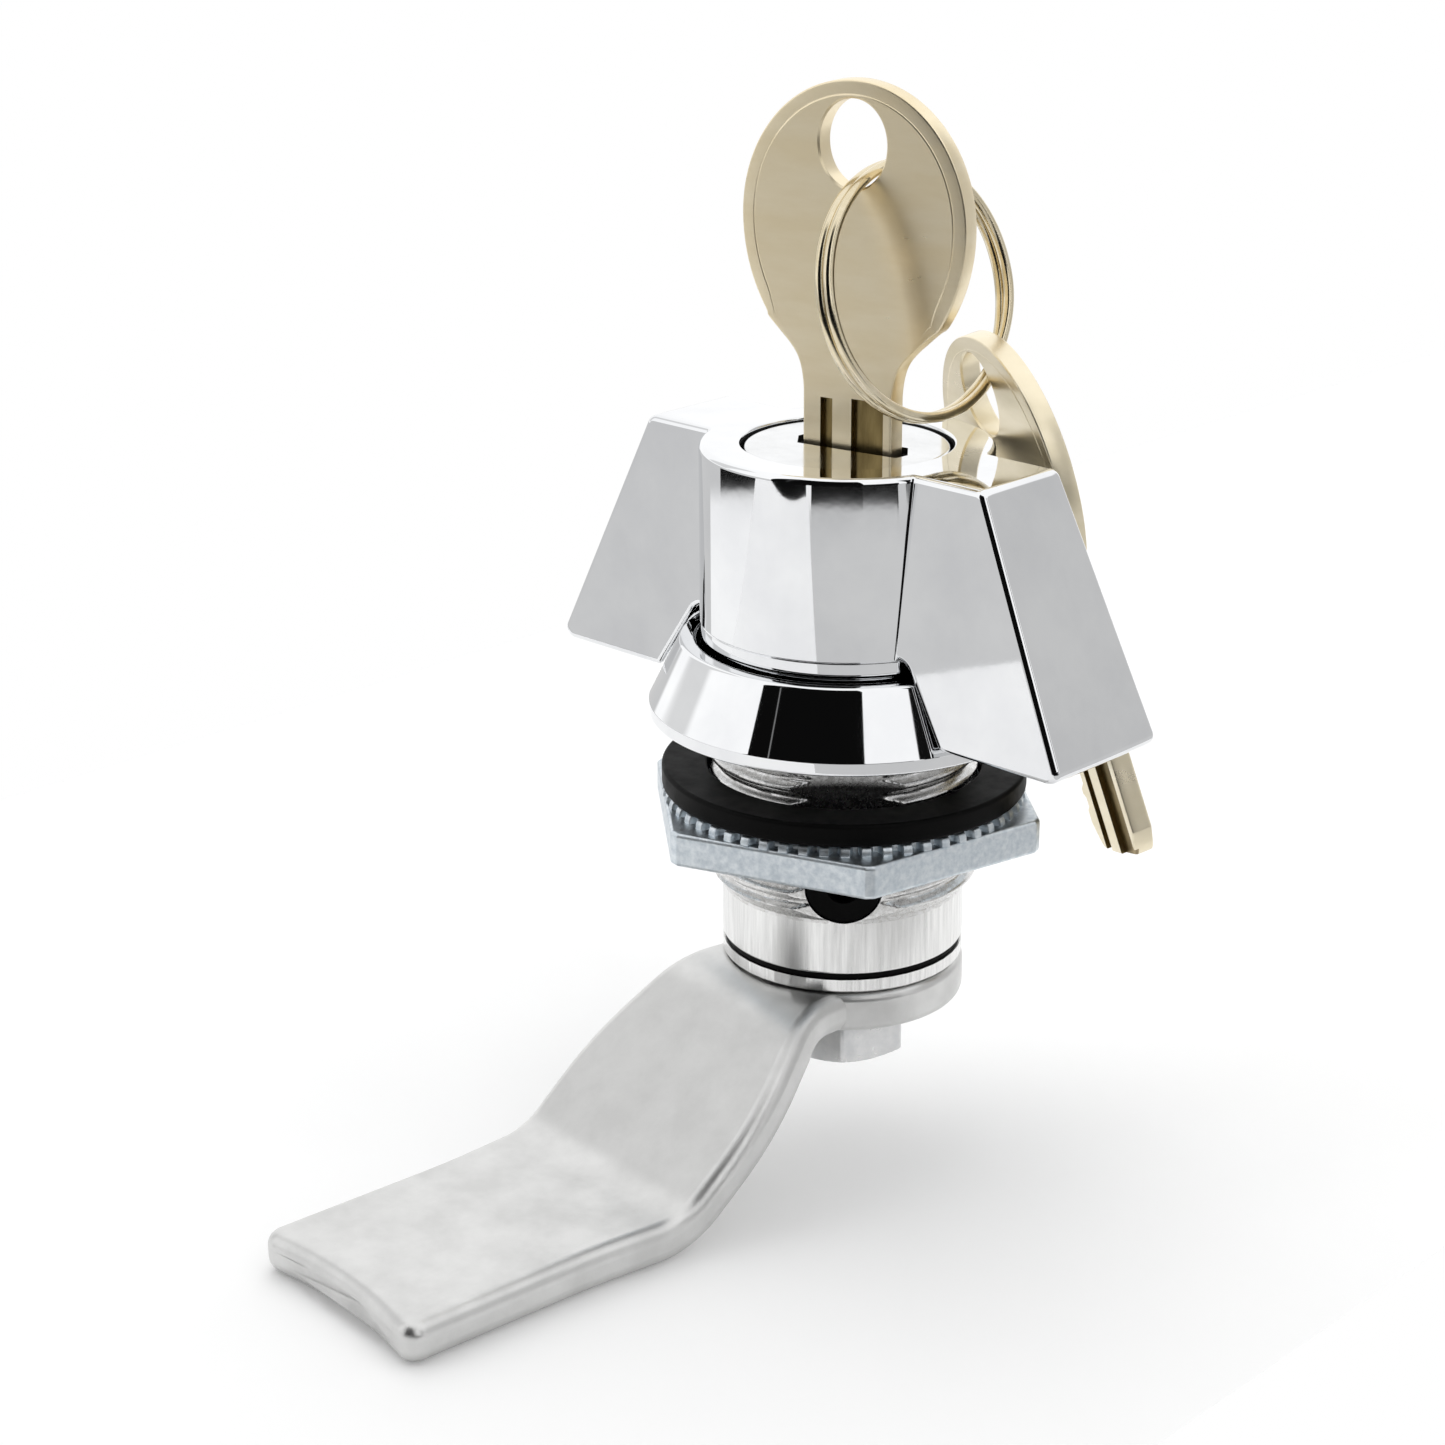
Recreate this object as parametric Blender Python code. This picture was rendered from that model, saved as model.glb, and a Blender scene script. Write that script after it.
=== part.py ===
"""Quarter-turn wing-handle cam latch with key cylinder, two keys and a split ring.

Frame: origin on the latch axis at the flange underside, +Z toward the handle,
+X along one wing of the handle.  Sizes below are in millimetres.
"""
import math

import bmesh
import bpy
import numpy as np
from mathutils import Matrix, Vector

MM = 0.001

# Housing
SHANK_R = 11.0
THREAD_PITCH = 1.5
THREAD_DEPTH = 0.7
THREAD_CREST = 0.24
THREAD_TOP_Z = -1.25
THREAD_END_Z = -14.6
FLAT_HALF = 10.0
FLAT_AZ = -47.0
LOWER_R = 10.0
HOUSING_BOTTOM_Z = -19.36
BORE_R = 7.5
FLANGE_R = 15.98
FLANGE_RIM_Z = 1.11
LIP_R = 13.38
LIP_Z = 6.36
RECESS_R = 12.05
RECESS_Z = 1.2
DETENT_AZ = -48.0
DETENT_Z = -11.7
DETENT_R = 3.15

# Nut and gasket
NUT_AF = 29.8
NUT_TOP_Z = -7.03
NUT_BOTTOM_Z = -9.82
NUT_TURN = -41.4
TEETH = 52
TOOTH_R = 14.4
TOOTH_ROOT_R = 13.55
COLLAR_TOP_Z = -6.3
NUT_BORE_R = 11.25
GASKET_R = 15.0
GASKET_TOP_Z = -4.38
GASKET_T = 1.85

# Handle
HUB_R = 11.8
HUB_TOP_Z = 22.5
NECK_R = 11.45
NECK_TOP_Z = 7.9
NECK_Z = 1.65
BOSS_R = 7.3
BOSS_Z = -1.5
SEAL_R = 11.5
SEAL_WIRE_R = 0.47
SEAL_Z = 2.28
CYL_BORE_R = 8.51
CYL_FLOOR_Z = 5.75
WING_TOP_L = 17.6
WING_TOP_W = 4.67
WING_LOW_L = 27.3
WING_LOW_W = 6.29
WING_LOW_Z = 1.73
NOTCH_TOP = (12.6, 7.83)
NOTCH_LOW = (16.3, 1.73)

# Spindle and cam
SPINDLE_R = 7.4
SPINDLE_TOP_Z = -1.6
RING_TOP_Z = -19.84
RING_LOW_Z = -20.97
SQUARE = 8.0
SQUARE_LOW_Z = -24.2
CAM_AZ = -95.5
CAM_TOP_Z = -21.1
CAM_T = 3.4
CAM_DROP = 12.1
CAM_BEND_A = 11.3
CAM_BEND_B = 26.3
CAM_TIP = 52.4
CAM_BEND_R = 7.0
CAM_HEAD_R = 10.1
CAM_BOW = 1.2
CAM_BOW_FROM = 44.0
CAM_ROUNDING = 0.75
CAM_STATIONS = (4.0, 10.2, 18.8, 26.3, 34.3, CAM_TIP)
CAM_HALF_WIDTHS = (7.6, 7.75, 10.95, 10.8, 10.1, 10.05)

# Lock
KEYWAY_AZ = 10.4
KEY_OFF = 0.5
PLUG_R = 6.0
PLUG_HEAD_R = 8.25
PLUG_TOP_Z = 22.2
PLUG_LOW_Z = 5.9
SLEEVE_R = 8.35
SLEEVE_IN_R = 6.08
KEYWAY_L = 8.6
KEYWAY_W = 2.2
KEYWAY_FLOOR_Z = 6.3
PLUG_TURN = 60.0
CRANK_E = 1.6
CRANK_R = 1.0
BOLT_AZ = -90.0
WAFER_ZS = (19.0, 16.9, 14.8, 12.7, 10.6)

# Keys and ring
KEY_T = 1.8
KEY_BOW_R = 10.05
KEY_BOW_UP = 10.9
KEY_BOW_LOW = 12.1
KEY_BOW_Z = 40.0
KEY_HALF = 4.05
KEY_NECK = ((7.5, 32.0), (6.4, 31.0), (5.3, 30.0), (4.6, 29.1), (4.25, 28.1), (KEY_HALF, 26.8))
KEY_TIP_Z = 6.5
KEY_HOLE_Z = 46.05
KEY_HOLE_W = 0.25
RING_C = (4.373, 3.087, 34.683)
RING_N = (0.964, -0.0486, 0.2612)
RING_R = 9.89
RING_WIRE_R = 0.43
RING_PITCH = 0.9
RING_START = 149.0
RING_TURNS = 1.97
KEY2_HOLE = (5.893, 10.466, 25.623)
RING_PIVOT = (1.761, 0.323, 43.82)
KEY2_PIVOT = (6.625, 9.593, 27.583)
KEY2_DOWN = (0.3268, 0.0988, -0.9399)
KEY2_WIDE = (-0.8494, 0.4668, -0.2463)


def clear_scene():
    """Remove every object of the scene."""
    for obj in list(bpy.data.objects):
        bpy.data.objects.remove(obj, do_unlink=True)


def material(name, colour, metallic, rough):
    """Own Principled material."""
    mat = bpy.data.materials.new(name)
    mat.use_nodes = True
    bsdf = mat.node_tree.nodes["Principled BSDF"]
    bsdf.inputs["Base Color"].default_value = (*colour, 1.0)
    bsdf.inputs["Metallic"].default_value = metallic
    bsdf.inputs["Roughness"].default_value = rough
    return mat


CHROME = ((0.80, 0.81, 0.82), 1.0, 0.06)
STEEL = ((0.62, 0.63, 0.64), 1.0, 0.35)
ZINC = ((0.42, 0.47, 0.52), 1.0, 0.40)
RUBBER = ((0.015, 0.015, 0.016), 0.0, 0.75)
BRASS = ((0.55, 0.42, 0.20), 1.0, 0.30)
SILVER = ((0.54, 0.47, 0.35), 1.0, 0.28)


def finish(obj, look):
    """Give the object its material and smooth shading."""
    obj.data.materials.clear()
    obj.data.materials.append(material(obj.name, *look))
    obj.data.shade_smooth()
    obj.data.set_sharp_from_angle(angle=math.radians(32))
    return obj


def mesh_object(name, verts, faces):
    """Closed mesh object from millimetre points, facing out."""
    mesh = bpy.data.meshes.new(name)
    mesh.from_pydata([tuple(v * MM for v in p) for p in verts], [], faces)
    bm = bmesh.new()
    bm.from_mesh(mesh)
    bmesh.ops.recalc_face_normals(bm, faces=bm.faces)
    bm.to_mesh(mesh)
    bm.free()
    obj = bpy.data.objects.new(name, mesh)
    bpy.context.scene.collection.objects.link(obj)
    return obj


def lathe(name, profile, segs=64, centre=(0.0, 0.0)):
    """Solid of revolution about Z from a closed (r, z) profile."""
    verts = []
    rings = []
    for r, z in profile:
        if r < 1e-6:
            rings.append([len(verts)])
            verts.append((centre[0], centre[1], z))
            continue
        start = len(verts)
        for k in range(segs):
            a = 2.0 * math.pi * k / segs
            verts.append((centre[0] + r * math.cos(a), centre[1] + r * math.sin(a), z))
        rings.append(list(range(start, start + segs)))
    faces = []
    for i, low in enumerate(rings):
        high = rings[(i + 1) % len(rings)]
        if len(low) == 1 and len(high) == 1:
            continue
        for k in range(segs):
            n = (k + 1) % segs
            if len(low) == 1:
                faces.append((low[0], high[n], high[k]))
            elif len(high) == 1:
                faces.append((low[k], low[n], high[0]))
            else:
                faces.append((low[k], low[n], high[n], high[k]))
    return mesh_object(name, verts, faces)


def loft(name, sections):
    """Solid through rings of equal point count, capped at both ends."""
    count = len(sections[0])
    verts = [tuple(p) for ring in sections for p in ring]
    faces = [tuple(range(count))[::-1]]
    last = (len(sections) - 1) * count
    faces.append(tuple(range(last, last + count)))
    for s in range(len(sections) - 1):
        for k in range(count):
            n = (k + 1) % count
            faces.append((s * count + k, s * count + n, (s + 1) * count + n, (s + 1) * count + k))
    return mesh_object(name, verts, faces)


def prism(name, outline, z0, z1):
    """Straight extrusion of a plan outline."""
    return loft(name, [[(x, y, z0) for x, y in outline], [(x, y, z1) for x, y in outline]])


def box(name, low, high):
    """Axis-aligned box."""
    plan = [(low[0], low[1]), (high[0], low[1]), (high[0], high[1]), (low[0], high[1])]
    return prism(name, plan, low[2], high[2])


def circle(r, segs, centre=(0.0, 0.0), r2=None):
    """Plan points of a circle or ellipse."""
    r2 = r if r2 is None else r2
    step = 2.0 * math.pi / segs
    return [(centre[0] + r * math.cos(k * step), centre[1] + r2 * math.sin(k * step)) for k in range(segs)]


def move(obj, matrix):
    """Apply a rigid transform, given in millimetres, to the mesh."""
    scaled = matrix.copy()
    scaled.translation = matrix.translation * MM
    obj.data.transform(scaled)
    return obj


def set_origin(obj, point):
    """Put the object's origin on its joint axis without moving the mesh."""
    spot = Vector(point) * MM
    obj.data.transform(Matrix.Translation(-spot))
    obj.location = spot
    return obj


def turn(obj, degrees):
    """Turn the mesh about the latch axis."""
    return move(obj, Matrix.Rotation(math.radians(degrees), 4, "Z"))


def combine(target, other, mode):
    """Exact Boolean of two solids; the second one is used up."""
    other.hide_render = True
    other.display_type = "WIRE"
    mod = target.modifiers.new("combine", "BOOLEAN")
    mod.operation = mode
    mod.solver = "EXACT"
    mod.object = other
    graph = bpy.context.evaluated_depsgraph_get()
    fresh = bpy.data.meshes.new_from_object(target.evaluated_get(graph))
    target.modifiers.clear()
    old = target.data
    target.data = fresh
    bpy.data.meshes.remove(old)
    bpy.data.objects.remove(other, do_unlink=True)
    clean(target)
    return target


def clean(obj):
    """Weld coincident points and drop slivers left by a Boolean."""
    bm = bmesh.new()
    bm.from_mesh(obj.data)
    bmesh.ops.remove_doubles(bm, verts=bm.verts, dist=1e-6)
    bmesh.ops.dissolve_degenerate(bm, edges=bm.edges, dist=1e-6)
    bmesh.ops.recalc_face_normals(bm, faces=bm.faces)
    bm.to_mesh(obj.data)
    bm.free()


def cut(target, *others):
    """Subtract each solid."""
    for other in others:
        combine(target, other, "DIFFERENCE")
    return target


def join(target, *others):
    """Add each solid."""
    for other in others:
        combine(target, other, "UNION")
    return target


def radial(name, r, az, z, r0, r1, segs=32, rb=None):
    """Cylinder or cone lying along a radius, from r0 to r1."""
    rb = r if rb is None else rb
    obj = lathe(name, [(0.0, r0), (r, r0), (rb, r1), (0.0, r1)], segs)
    a = math.radians(az)
    axis = Vector((math.cos(a), math.sin(a), 0.0))
    side = Vector((-math.sin(a), math.cos(a), 0.0))
    up = Vector((0.0, 0.0, 1.0))
    m = Matrix((side, up, axis)).transposed().to_4x4()
    m.translation = Vector((0.0, 0.0, z))
    return move(obj, m)


# ---------------------------------------------------------------- housing

def make_housing():
    """Flange, threaded shank with two flats and the plain lower cylinder."""
    profile = [(BORE_R, RECESS_Z), (RECESS_R, RECESS_Z), (RECESS_R, LIP_Z - 0.25), (RECESS_R + 0.25, LIP_Z)]
    profile += [(LIP_R, LIP_Z), (FLANGE_R, FLANGE_RIM_Z), (FLANGE_R, 0.25), (FLANGE_R - 0.25, 0.0)]
    profile.append((SHANK_R, 0.0))
    z = THREAD_TOP_Z
    while z > THREAD_END_Z + 0.2:
        profile.append((SHANK_R, z + THREAD_CREST / 2))
        profile.append((SHANK_R, z - THREAD_CREST / 2))
        profile.append((SHANK_R - THREAD_DEPTH, z - THREAD_PITCH / 2))
        z -= THREAD_PITCH
    profile.append((LOWER_R, THREAD_END_Z - 0.5))
    profile += [(LOWER_R, HOUSING_BOTTOM_Z + 0.2), (LOWER_R - 0.2, HOUSING_BOTTOM_Z)]
    profile += [(BORE_R, HOUSING_BOTTOM_Z)]
    body = lathe("housing", profile, 52)
    for side in (1, -1):
        flat = box("flat", (FLAT_HALF * side, -9.0, THREAD_END_Z - 0.8), (14.0 * side, 9.0, -0.02))
        turn(flat, FLAT_AZ)
        cut(body, flat)
    cut(body, radial("hole", DETENT_R, DETENT_AZ, DETENT_Z, 6.0, 12.0, 40))
    for az in (BOLT_AZ, BOLT_AZ + 90.0):
        cut(body, turn(box("pocket", (11.0, -2.2, 2.9), (13.2, 2.2, 5.7)), az))
    arc = []
    for k in range(19):
        a = math.radians(129.6 + 100.8 * k / 18)
        arc.append((8.95 * math.cos(a), 8.95 * math.sin(a)))
    for k in range(18, -1, -1):
        a = math.radians(129.6 + 100.8 * k / 18)
        arc.append((7.0 * math.cos(a), 7.0 * math.sin(a)))
    cut(body, prism("groove", arc, HOUSING_BOTTOM_Z - 1.0, -18.3))
    return finish(body, CHROME)


def make_nut():
    """Hexagon nut with a ring of locking teeth on its upper face."""
    corner = NUT_AF / math.cos(math.radians(30)) / 2
    outline = circle(corner, 6)
    nut = prism("mounting_nut", outline, NUT_BOTTOM_Z, NUT_TOP_Z)
    flat_r = NUT_AF / 2
    rim = [(0.0, NUT_BOTTOM_Z - 0.5), (flat_r - 0.3, NUT_BOTTOM_Z - 0.5), (flat_r - 0.3, NUT_BOTTOM_Z)]
    rim += [(corner + 0.5, NUT_BOTTOM_Z + 1.2), (corner + 0.5, NUT_TOP_Z - 1.2), (flat_r - 0.3, NUT_TOP_Z)]
    rim += [(flat_r - 0.3, NUT_TOP_Z + 0.5), (0.0, NUT_TOP_Z + 0.5)]
    combine(nut, lathe("rim", rim, 60), "INTERSECT")
    teeth = []
    for k in range(TEETH):
        for part, r in ((0.0, TOOTH_ROOT_R), (0.4, TOOTH_R), (0.65, TOOTH_R)):
            a = 2.0 * math.pi * (k + part) / TEETH
            teeth.append((r * math.cos(a), r * math.sin(a)))
    join(nut, prism("teeth", teeth, NUT_TOP_Z - 0.4, COLLAR_TOP_Z))
    bore = [(0.0, -12.0), (NUT_BORE_R + 0.7, -12.0), (NUT_BORE_R + 0.7, NUT_BOTTOM_Z - 0.01)]
    bore += [(NUT_BORE_R, NUT_BOTTOM_Z + 0.7), (NUT_BORE_R, COLLAR_TOP_Z - 0.5)]
    bore += [(NUT_BORE_R + 0.5, COLLAR_TOP_Z + 0.01), (NUT_BORE_R + 0.5, -5.0), (0.0, -5.0)]
    cut(nut, lathe("bore", bore, 52))
    turn(nut, NUT_TURN)
    return finish(nut, ZINC)


def make_gasket():
    """Soft sealing washer resting on the nut."""
    low = GASKET_TOP_Z - GASKET_T
    prof = [(11.3, low), (GASKET_R - 0.25, low), (GASKET_R, low + 0.25), (GASKET_R, GASKET_TOP_Z - 0.25)]
    prof += [(GASKET_R - 0.25, GASKET_TOP_Z), (11.3, GASKET_TOP_Z)]
    return finish(lathe("gasket", prof, 52), RUBBER)


def make_detent():
    """Rubber bush and steel ball of the indexing detent."""
    bush = radial("detent_bush", 3.05, DETENT_AZ, DETENT_Z, 8.0, 9.8, 40)
    cut(bush, radial("eye", 1.48, DETENT_AZ, DETENT_Z, 7.0, 11.0, 32))
    finish(bush, RUBBER)
    prof = []
    for k in range(11):
        a = math.pi * k / 10 - math.pi / 2
        prof.append((1.35 * math.cos(a) if 0 < k < 10 else 0.0, 1.35 * math.sin(a)))
    ball = lathe("detent_ball", prof, 18)
    a = math.radians(DETENT_AZ)
    move(ball, Matrix.Translation((8.55 * math.cos(a), 8.55 * math.sin(a), DETENT_Z)))
    finish(ball, STEEL)


# ---------------------------------------------------------------- handle

def wing(side):
    """One tapered wing, bevelled, cut back over the flange."""
    top, low = [], []
    for sx, sy in ((0, -1), (1, -1), (1, 1), (0, 1)):
        top.append((side * (WING_TOP_L if sx else 4.0), sy * WING_TOP_W, HUB_TOP_Z))
        low.append((side * (WING_LOW_L if sx else 4.0), sy * WING_LOW_W, WING_LOW_Z))
    obj = loft("wing", [low, top])
    bm = bmesh.new()
    bm.from_mesh(obj.data)
    edges = []
    for e in bm.edges:
        mid = (e.verts[0].co + e.verts[1].co) / 2
        if abs(mid.x) > 9.0 * MM:
            edges.append(e)
    bmesh.ops.bevel(bm, geom=edges, offset=0.55 * MM, segments=2, affect="EDGES", profile=0.5)
    bm.to_mesh(obj.data)
    bm.free()
    slope = (NOTCH_LOW[0] - NOTCH_TOP[0]) / (NOTCH_TOP[1] - NOTCH_LOW[1])
    far = NOTCH_LOW[0] + 3.0 * slope
    plan = [(0.0, -1.27), (far, -1.27), NOTCH_TOP, (0.0, NOTCH_TOP[1])]
    return cut(obj, lathe("notch", plan, 96))


def make_handle():
    """Hub with two wings, the cylinder bore and the bolt channel."""
    prof = [(0.0, BOSS_Z), (BOSS_R, BOSS_Z), (BOSS_R, NECK_Z), (NECK_R, NECK_Z), (NECK_R, 1.75)]
    prof += [(10.95, 1.75), (10.95, 2.8), (NECK_R, 2.8), (NECK_R, NECK_TOP_Z - 0.5)]
    prof += [(HUB_R, NECK_TOP_Z), (HUB_R, HUB_TOP_Z - 0.35), (HUB_R - 0.35, HUB_TOP_Z), (0.0, HUB_TOP_Z)]
    body = lathe("wing_handle", prof, 60)
    join(body, wing(1), wing(-1))
    bore = [(0.0, CYL_FLOOR_Z), (CYL_BORE_R, CYL_FLOOR_Z), (CYL_BORE_R, HUB_TOP_Z - 0.15)]
    bore += [(CYL_BORE_R + 0.2, HUB_TOP_Z + 0.05), (CYL_BORE_R + 0.2, 24.0), (0.0, 24.0)]
    cut(body, lathe("bore", bore, 52))
    channel = box("channel", (-5.5, -3.7, 3.0), (5.2, 3.7, CYL_FLOOR_Z + 0.5))
    cut(body, turn(channel, BOLT_AZ))
    cut(body, turn(box("tunnel", (4.0, -2.1, 3.0), (14.0, 2.1, 5.6)), BOLT_AZ))
    pocket = [(0.0, -3.0), (2.6, -3.0), (2.6, 1.4), (4.1, 1.4), (4.1, 4.0), (0.0, 4.0)]
    cut(body, lathe("pocket", pocket, 40))
    for x in (5.2, -5.2):
        cut(body, prism("dowel_hole", circle(1.08, 24, (x, 0.0)), -3.0, 1.1))
    return finish(body, CHROME)


def make_spindle():
    """Shaft, bottom collar and square drive, all one turned piece."""
    half = 1.75
    prof = [(0.0, SQUARE_LOW_Z), (5.4, SQUARE_LOW_Z), (5.4, RING_LOW_Z), (9.85, RING_LOW_Z)]
    prof += [(LOWER_R, RING_LOW_Z + 0.15), (LOWER_R, RING_TOP_Z), (SPINDLE_R, RING_TOP_Z)]
    prof += [(SPINDLE_R, DETENT_Z - half), (7.0, DETENT_Z - half + 0.4), (7.0, DETENT_Z + half - 0.4)]
    prof += [(SPINDLE_R, DETENT_Z + half), (SPINDLE_R, SPINDLE_TOP_Z - 0.3)]
    prof += [(SPINDLE_R - 0.3, SPINDLE_TOP_Z), (0.0, SPINDLE_TOP_Z)]
    body = lathe("spindle", prof, 44)
    for k in range(4):
        side = box("side", (SQUARE / 2, -7.0, SQUARE_LOW_Z - 1.0), (8.0, 7.0, RING_LOW_Z))
        cut(body, turn(side, CAM_AZ + 90.0 * k))
    cut(body, prism("screw_hole", circle(3.05, 32), SQUARE_LOW_Z - 1.0, -14.3))
    cut(body, prism("top_hole", circle(2.5, 32), -9.6, 0.0))
    for x in (5.2, -5.2):
        cut(body, prism("dowel_hole", circle(1.08, 24, (x, 0.0)), -4.9, 0.0))
    a = math.radians(135.0)
    spot = (8.2 * math.cos(a), 8.2 * math.sin(a))
    cut(body, prism("stop_hole", circle(0.62, 20, spot), -20.7, -19.0))
    finish(body, STEEL)
    pin = prism("stop_pin", circle(0.58, 20, spot), -20.6, -18.5)
    finish(pin, STEEL)


def cam_profile():
    """Top line of the cranked arm as (distance, z, tilt) along its length."""
    z1 = CAM_TOP_Z
    z2 = CAM_TOP_Z - CAM_DROP
    a = math.atan2(CAM_DROP, CAM_BEND_B - CAM_BEND_A)
    back = CAM_BEND_R * math.tan(a / 2)
    line = [(2.0, z1, 0.0), (CAM_BEND_A - back, z1, 0.0)]
    for k in range(1, 7):
        t = a * k / 6
        x = CAM_BEND_A - back + CAM_BEND_R * math.sin(t)
        line.append((x, z1 - CAM_BEND_R + CAM_BEND_R * math.cos(t), t))
    mid = ((CAM_BEND_A + CAM_BEND_B) / 2, (z1 + z2) / 2, a)
    line.append(mid)
    for k in range(0, 7):
        t = a * (1 - k / 6)
        x = CAM_BEND_B + back - CAM_BEND_R * math.sin(t)
        line.append((x, z2 + CAM_BEND_R - CAM_BEND_R * math.cos(t), t))
    for x in (36.0, 42.0, 47.0, 50.0, CAM_TIP):
        line.append((x, z2, 0.0))
    return line


def cam_half(x):
    """Half width of the arm at a distance from the axis."""
    return float(np.interp(x, CAM_STATIONS, CAM_HALF_WIDTHS))


def make_cam():
    """Cranked cam arm with rounded edges, round head and square hole."""
    rounding = CAM_ROUNDING
    sections = []
    for x, z, t in cam_profile():
        half = cam_half(x)
        ring = []
        for sy, sz in ((-1, -1), (1, -1), (1, 1), (-1, 1)):
            cy = sy * (half - rounding)
            cz = -CAM_T / 2 + sz * (CAM_T / 2 - rounding)
            start = {(-1, -1): 180, (1, -1): 270, (1, 1): 0, (-1, 1): 90}[(sy, sz)]
            for k in range(3):
                b = math.radians(start + 45 * k)
                py = cy + rounding * math.cos(b)
                pz = cz + rounding * math.sin(b)
                bow = 0.0
                if x > CAM_BOW_FROM:
                    share = (x - CAM_BOW_FROM) / (CAM_TIP - CAM_BOW_FROM)
                    bow = -CAM_BOW * (1.0 - (py / half) ** 2) * share
                ring.append((x + bow + pz * math.sin(t), py, z + pz * math.cos(t)))
        sections.append(ring)
    arm = loft("cam", sections)
    low = CAM_TOP_Z - CAM_T
    head = [(0.0, low), (CAM_HEAD_R - 0.7, low), (CAM_HEAD_R, low + 0.7), (CAM_HEAD_R, CAM_TOP_Z - 0.7)]
    head += [(CAM_HEAD_R - 0.7, CAM_TOP_Z), (0.0, CAM_TOP_Z)]
    join(arm, lathe("head", head, 56))
    s = SQUARE / 2 + 0.06
    cut(arm, box("square", (-s, -s, low - 1.0), (s, s, CAM_TOP_Z + 1.0)))
    turn(arm, CAM_AZ)
    return finish(arm, STEEL)


def make_fasteners():
    """Cam screw, spring washer, handle screw and dowels."""
    head = prism("cam_screw", circle(5.0 / math.cos(math.pi / 6), 6), -29.9, -25.85)
    dome = [(0.0, -31.0), (4.3, -31.0), (4.6, -29.9), (5.9, -29.2), (5.9, -25.5), (0.0, -25.5)]
    combine(head, lathe("dome", dome, 48), "INTERSECT")
    shank = [(0.0, -26.2), (2.95, -26.2), (2.95, -15.2), (2.5, -14.7), (0.0, -14.7)]
    join(head, lathe("shank", shank, 32))
    turn(head, 12.0)
    finish(head, STEEL)
    washer = lathe("spring_washer", [(3.2, -25.75), (5.5, -25.75), (5.5, -24.62), (3.2, -24.62)], 48)
    cut(washer, turn(box("split", (2.0, -0.3, -27.0), (7.0, 0.3, -23.0)), 130.0))
    finish(washer, STEEL)
    screw = [(0.0, -9.1), (2.0, -9.1), (2.4, -8.7), (2.4, 1.45), (3.9, 1.45), (3.9, 2.6), (3.65, 2.85), (0.0, 2.85)]
    top = lathe("handle_screw", screw, 32)
    cut(top, prism("socket", circle(1.6, 6), 1.3, 4.0))
    finish(top, STEEL)
    for name, x in (("dowel_right", 5.2), ("dowel_left", -5.2)):
        finish(prism(name, circle(1.0, 24, (x, 0.0)), -4.7, 0.9), STEEL)


def make_seals():
    """Weather seals above and below the housing."""
    prof = circle(SEAL_WIRE_R, 8, (SEAL_R, SEAL_Z))
    finish(lathe("hub_seal", prof, 44), RUBBER)
    prof = [(9.05, -19.78), (9.8, -19.78), (9.8, -19.42), (9.05, -19.42)]
    finish(lathe("lower_seal", prof, 44), RUBBER)


# ---------------------------------------------------------------- lock

def make_sleeve():
    """Fixed shell of the key cylinder, grooved where the wafers spring out."""
    prof = [(SLEEVE_IN_R, 5.85), (SLEEVE_R, 5.85), (SLEEVE_R, 20.35), (SLEEVE_IN_R, 20.35)]
    shell = lathe("lock_sleeve", prof, 52)
    for az in (0.0, PLUG_TURN, 180.0, 180.0 + PLUG_TURN):
        cut(shell, turn(box("groove", (5.0, -2.7, 4.0), (7.2, 2.7, 20.0)), KEYWAY_AZ + az))
    return finish(shell, BRASS)


def make_plug():
    """Turning plug: face disc, wafer chambers, keyway and crank pin."""
    prof = [(0.0, PLUG_LOW_Z), (PLUG_R, PLUG_LOW_Z), (PLUG_R, 20.45), (PLUG_HEAD_R, 20.45)]
    prof += [(PLUG_HEAD_R, PLUG_TOP_Z - 0.2), (PLUG_HEAD_R - 0.2, PLUG_TOP_Z), (0.0, PLUG_TOP_Z)]
    body = lathe("plug", prof, 52)
    k = KEYWAY_L / 2
    w = KEYWAY_W / 2
    way = box("keyway", (KEY_OFF - k, -w, KEYWAY_FLOOR_Z), (KEY_OFF + k, w, 24.0))
    cut(body, turn(way, KEYWAY_AZ))
    mouth = box("mouth", (KEY_OFF - 5.25, -w - 0.15, 21.7), (KEY_OFF + 5.25, w + 0.15, 24.0))
    cut(body, turn(mouth, KEYWAY_AZ))
    for z in WAFER_ZS:
        slot = box("chamber", (-7.0, -2.6, z - 0.58), (7.0, 2.6, z + 0.58))
        cut(body, turn(slot, KEYWAY_AZ))
    spot = (-CRANK_E * math.cos(math.radians(30)), CRANK_E * math.sin(math.radians(30)))
    join(body, prism("crank", circle(CRANK_R, 24, spot), 3.3, 6.2))
    return finish(body, CHROME)


def make_wafers():
    """Five flat wafers riding in the plug."""
    for i, z in enumerate(WAFER_ZS):
        plate = box("wafer_%d" % (i + 1), (-5.35, -2.45, z - 0.5), (5.35, 2.45, z + 0.5))
        cut(plate, box("window", (KEY_OFF - 4.65, -1.12, z - 1.0), (KEY_OFF + 4.3, 1.12, z + 1.0)))
        turn(plate, KEYWAY_AZ)
        finish(plate, BRASS)


def make_bolt():
    """Sliding bolt moved by the crank pin of the plug."""
    yoke = box("lock_bolt", (-3.2, -3.5, 3.15), (3.4, 3.5, 5.5))
    join(yoke, box("tongue", (2.0, -1.95, 3.15), (11.25, 1.95, 5.5)))
    u = -CRANK_E * math.sin(math.radians(30))
    slot = [(u - 1.08, -2.75), (u + 1.08, -2.75), (u + 1.08, -0.1), (u - 1.08, -0.1)]
    cut(yoke, prism("slot", slot, 2.0, 7.0))
    turn(yoke, BOLT_AZ)
    return finish(yoke, BRASS)


# ---------------------------------------------------------------- keys

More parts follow.
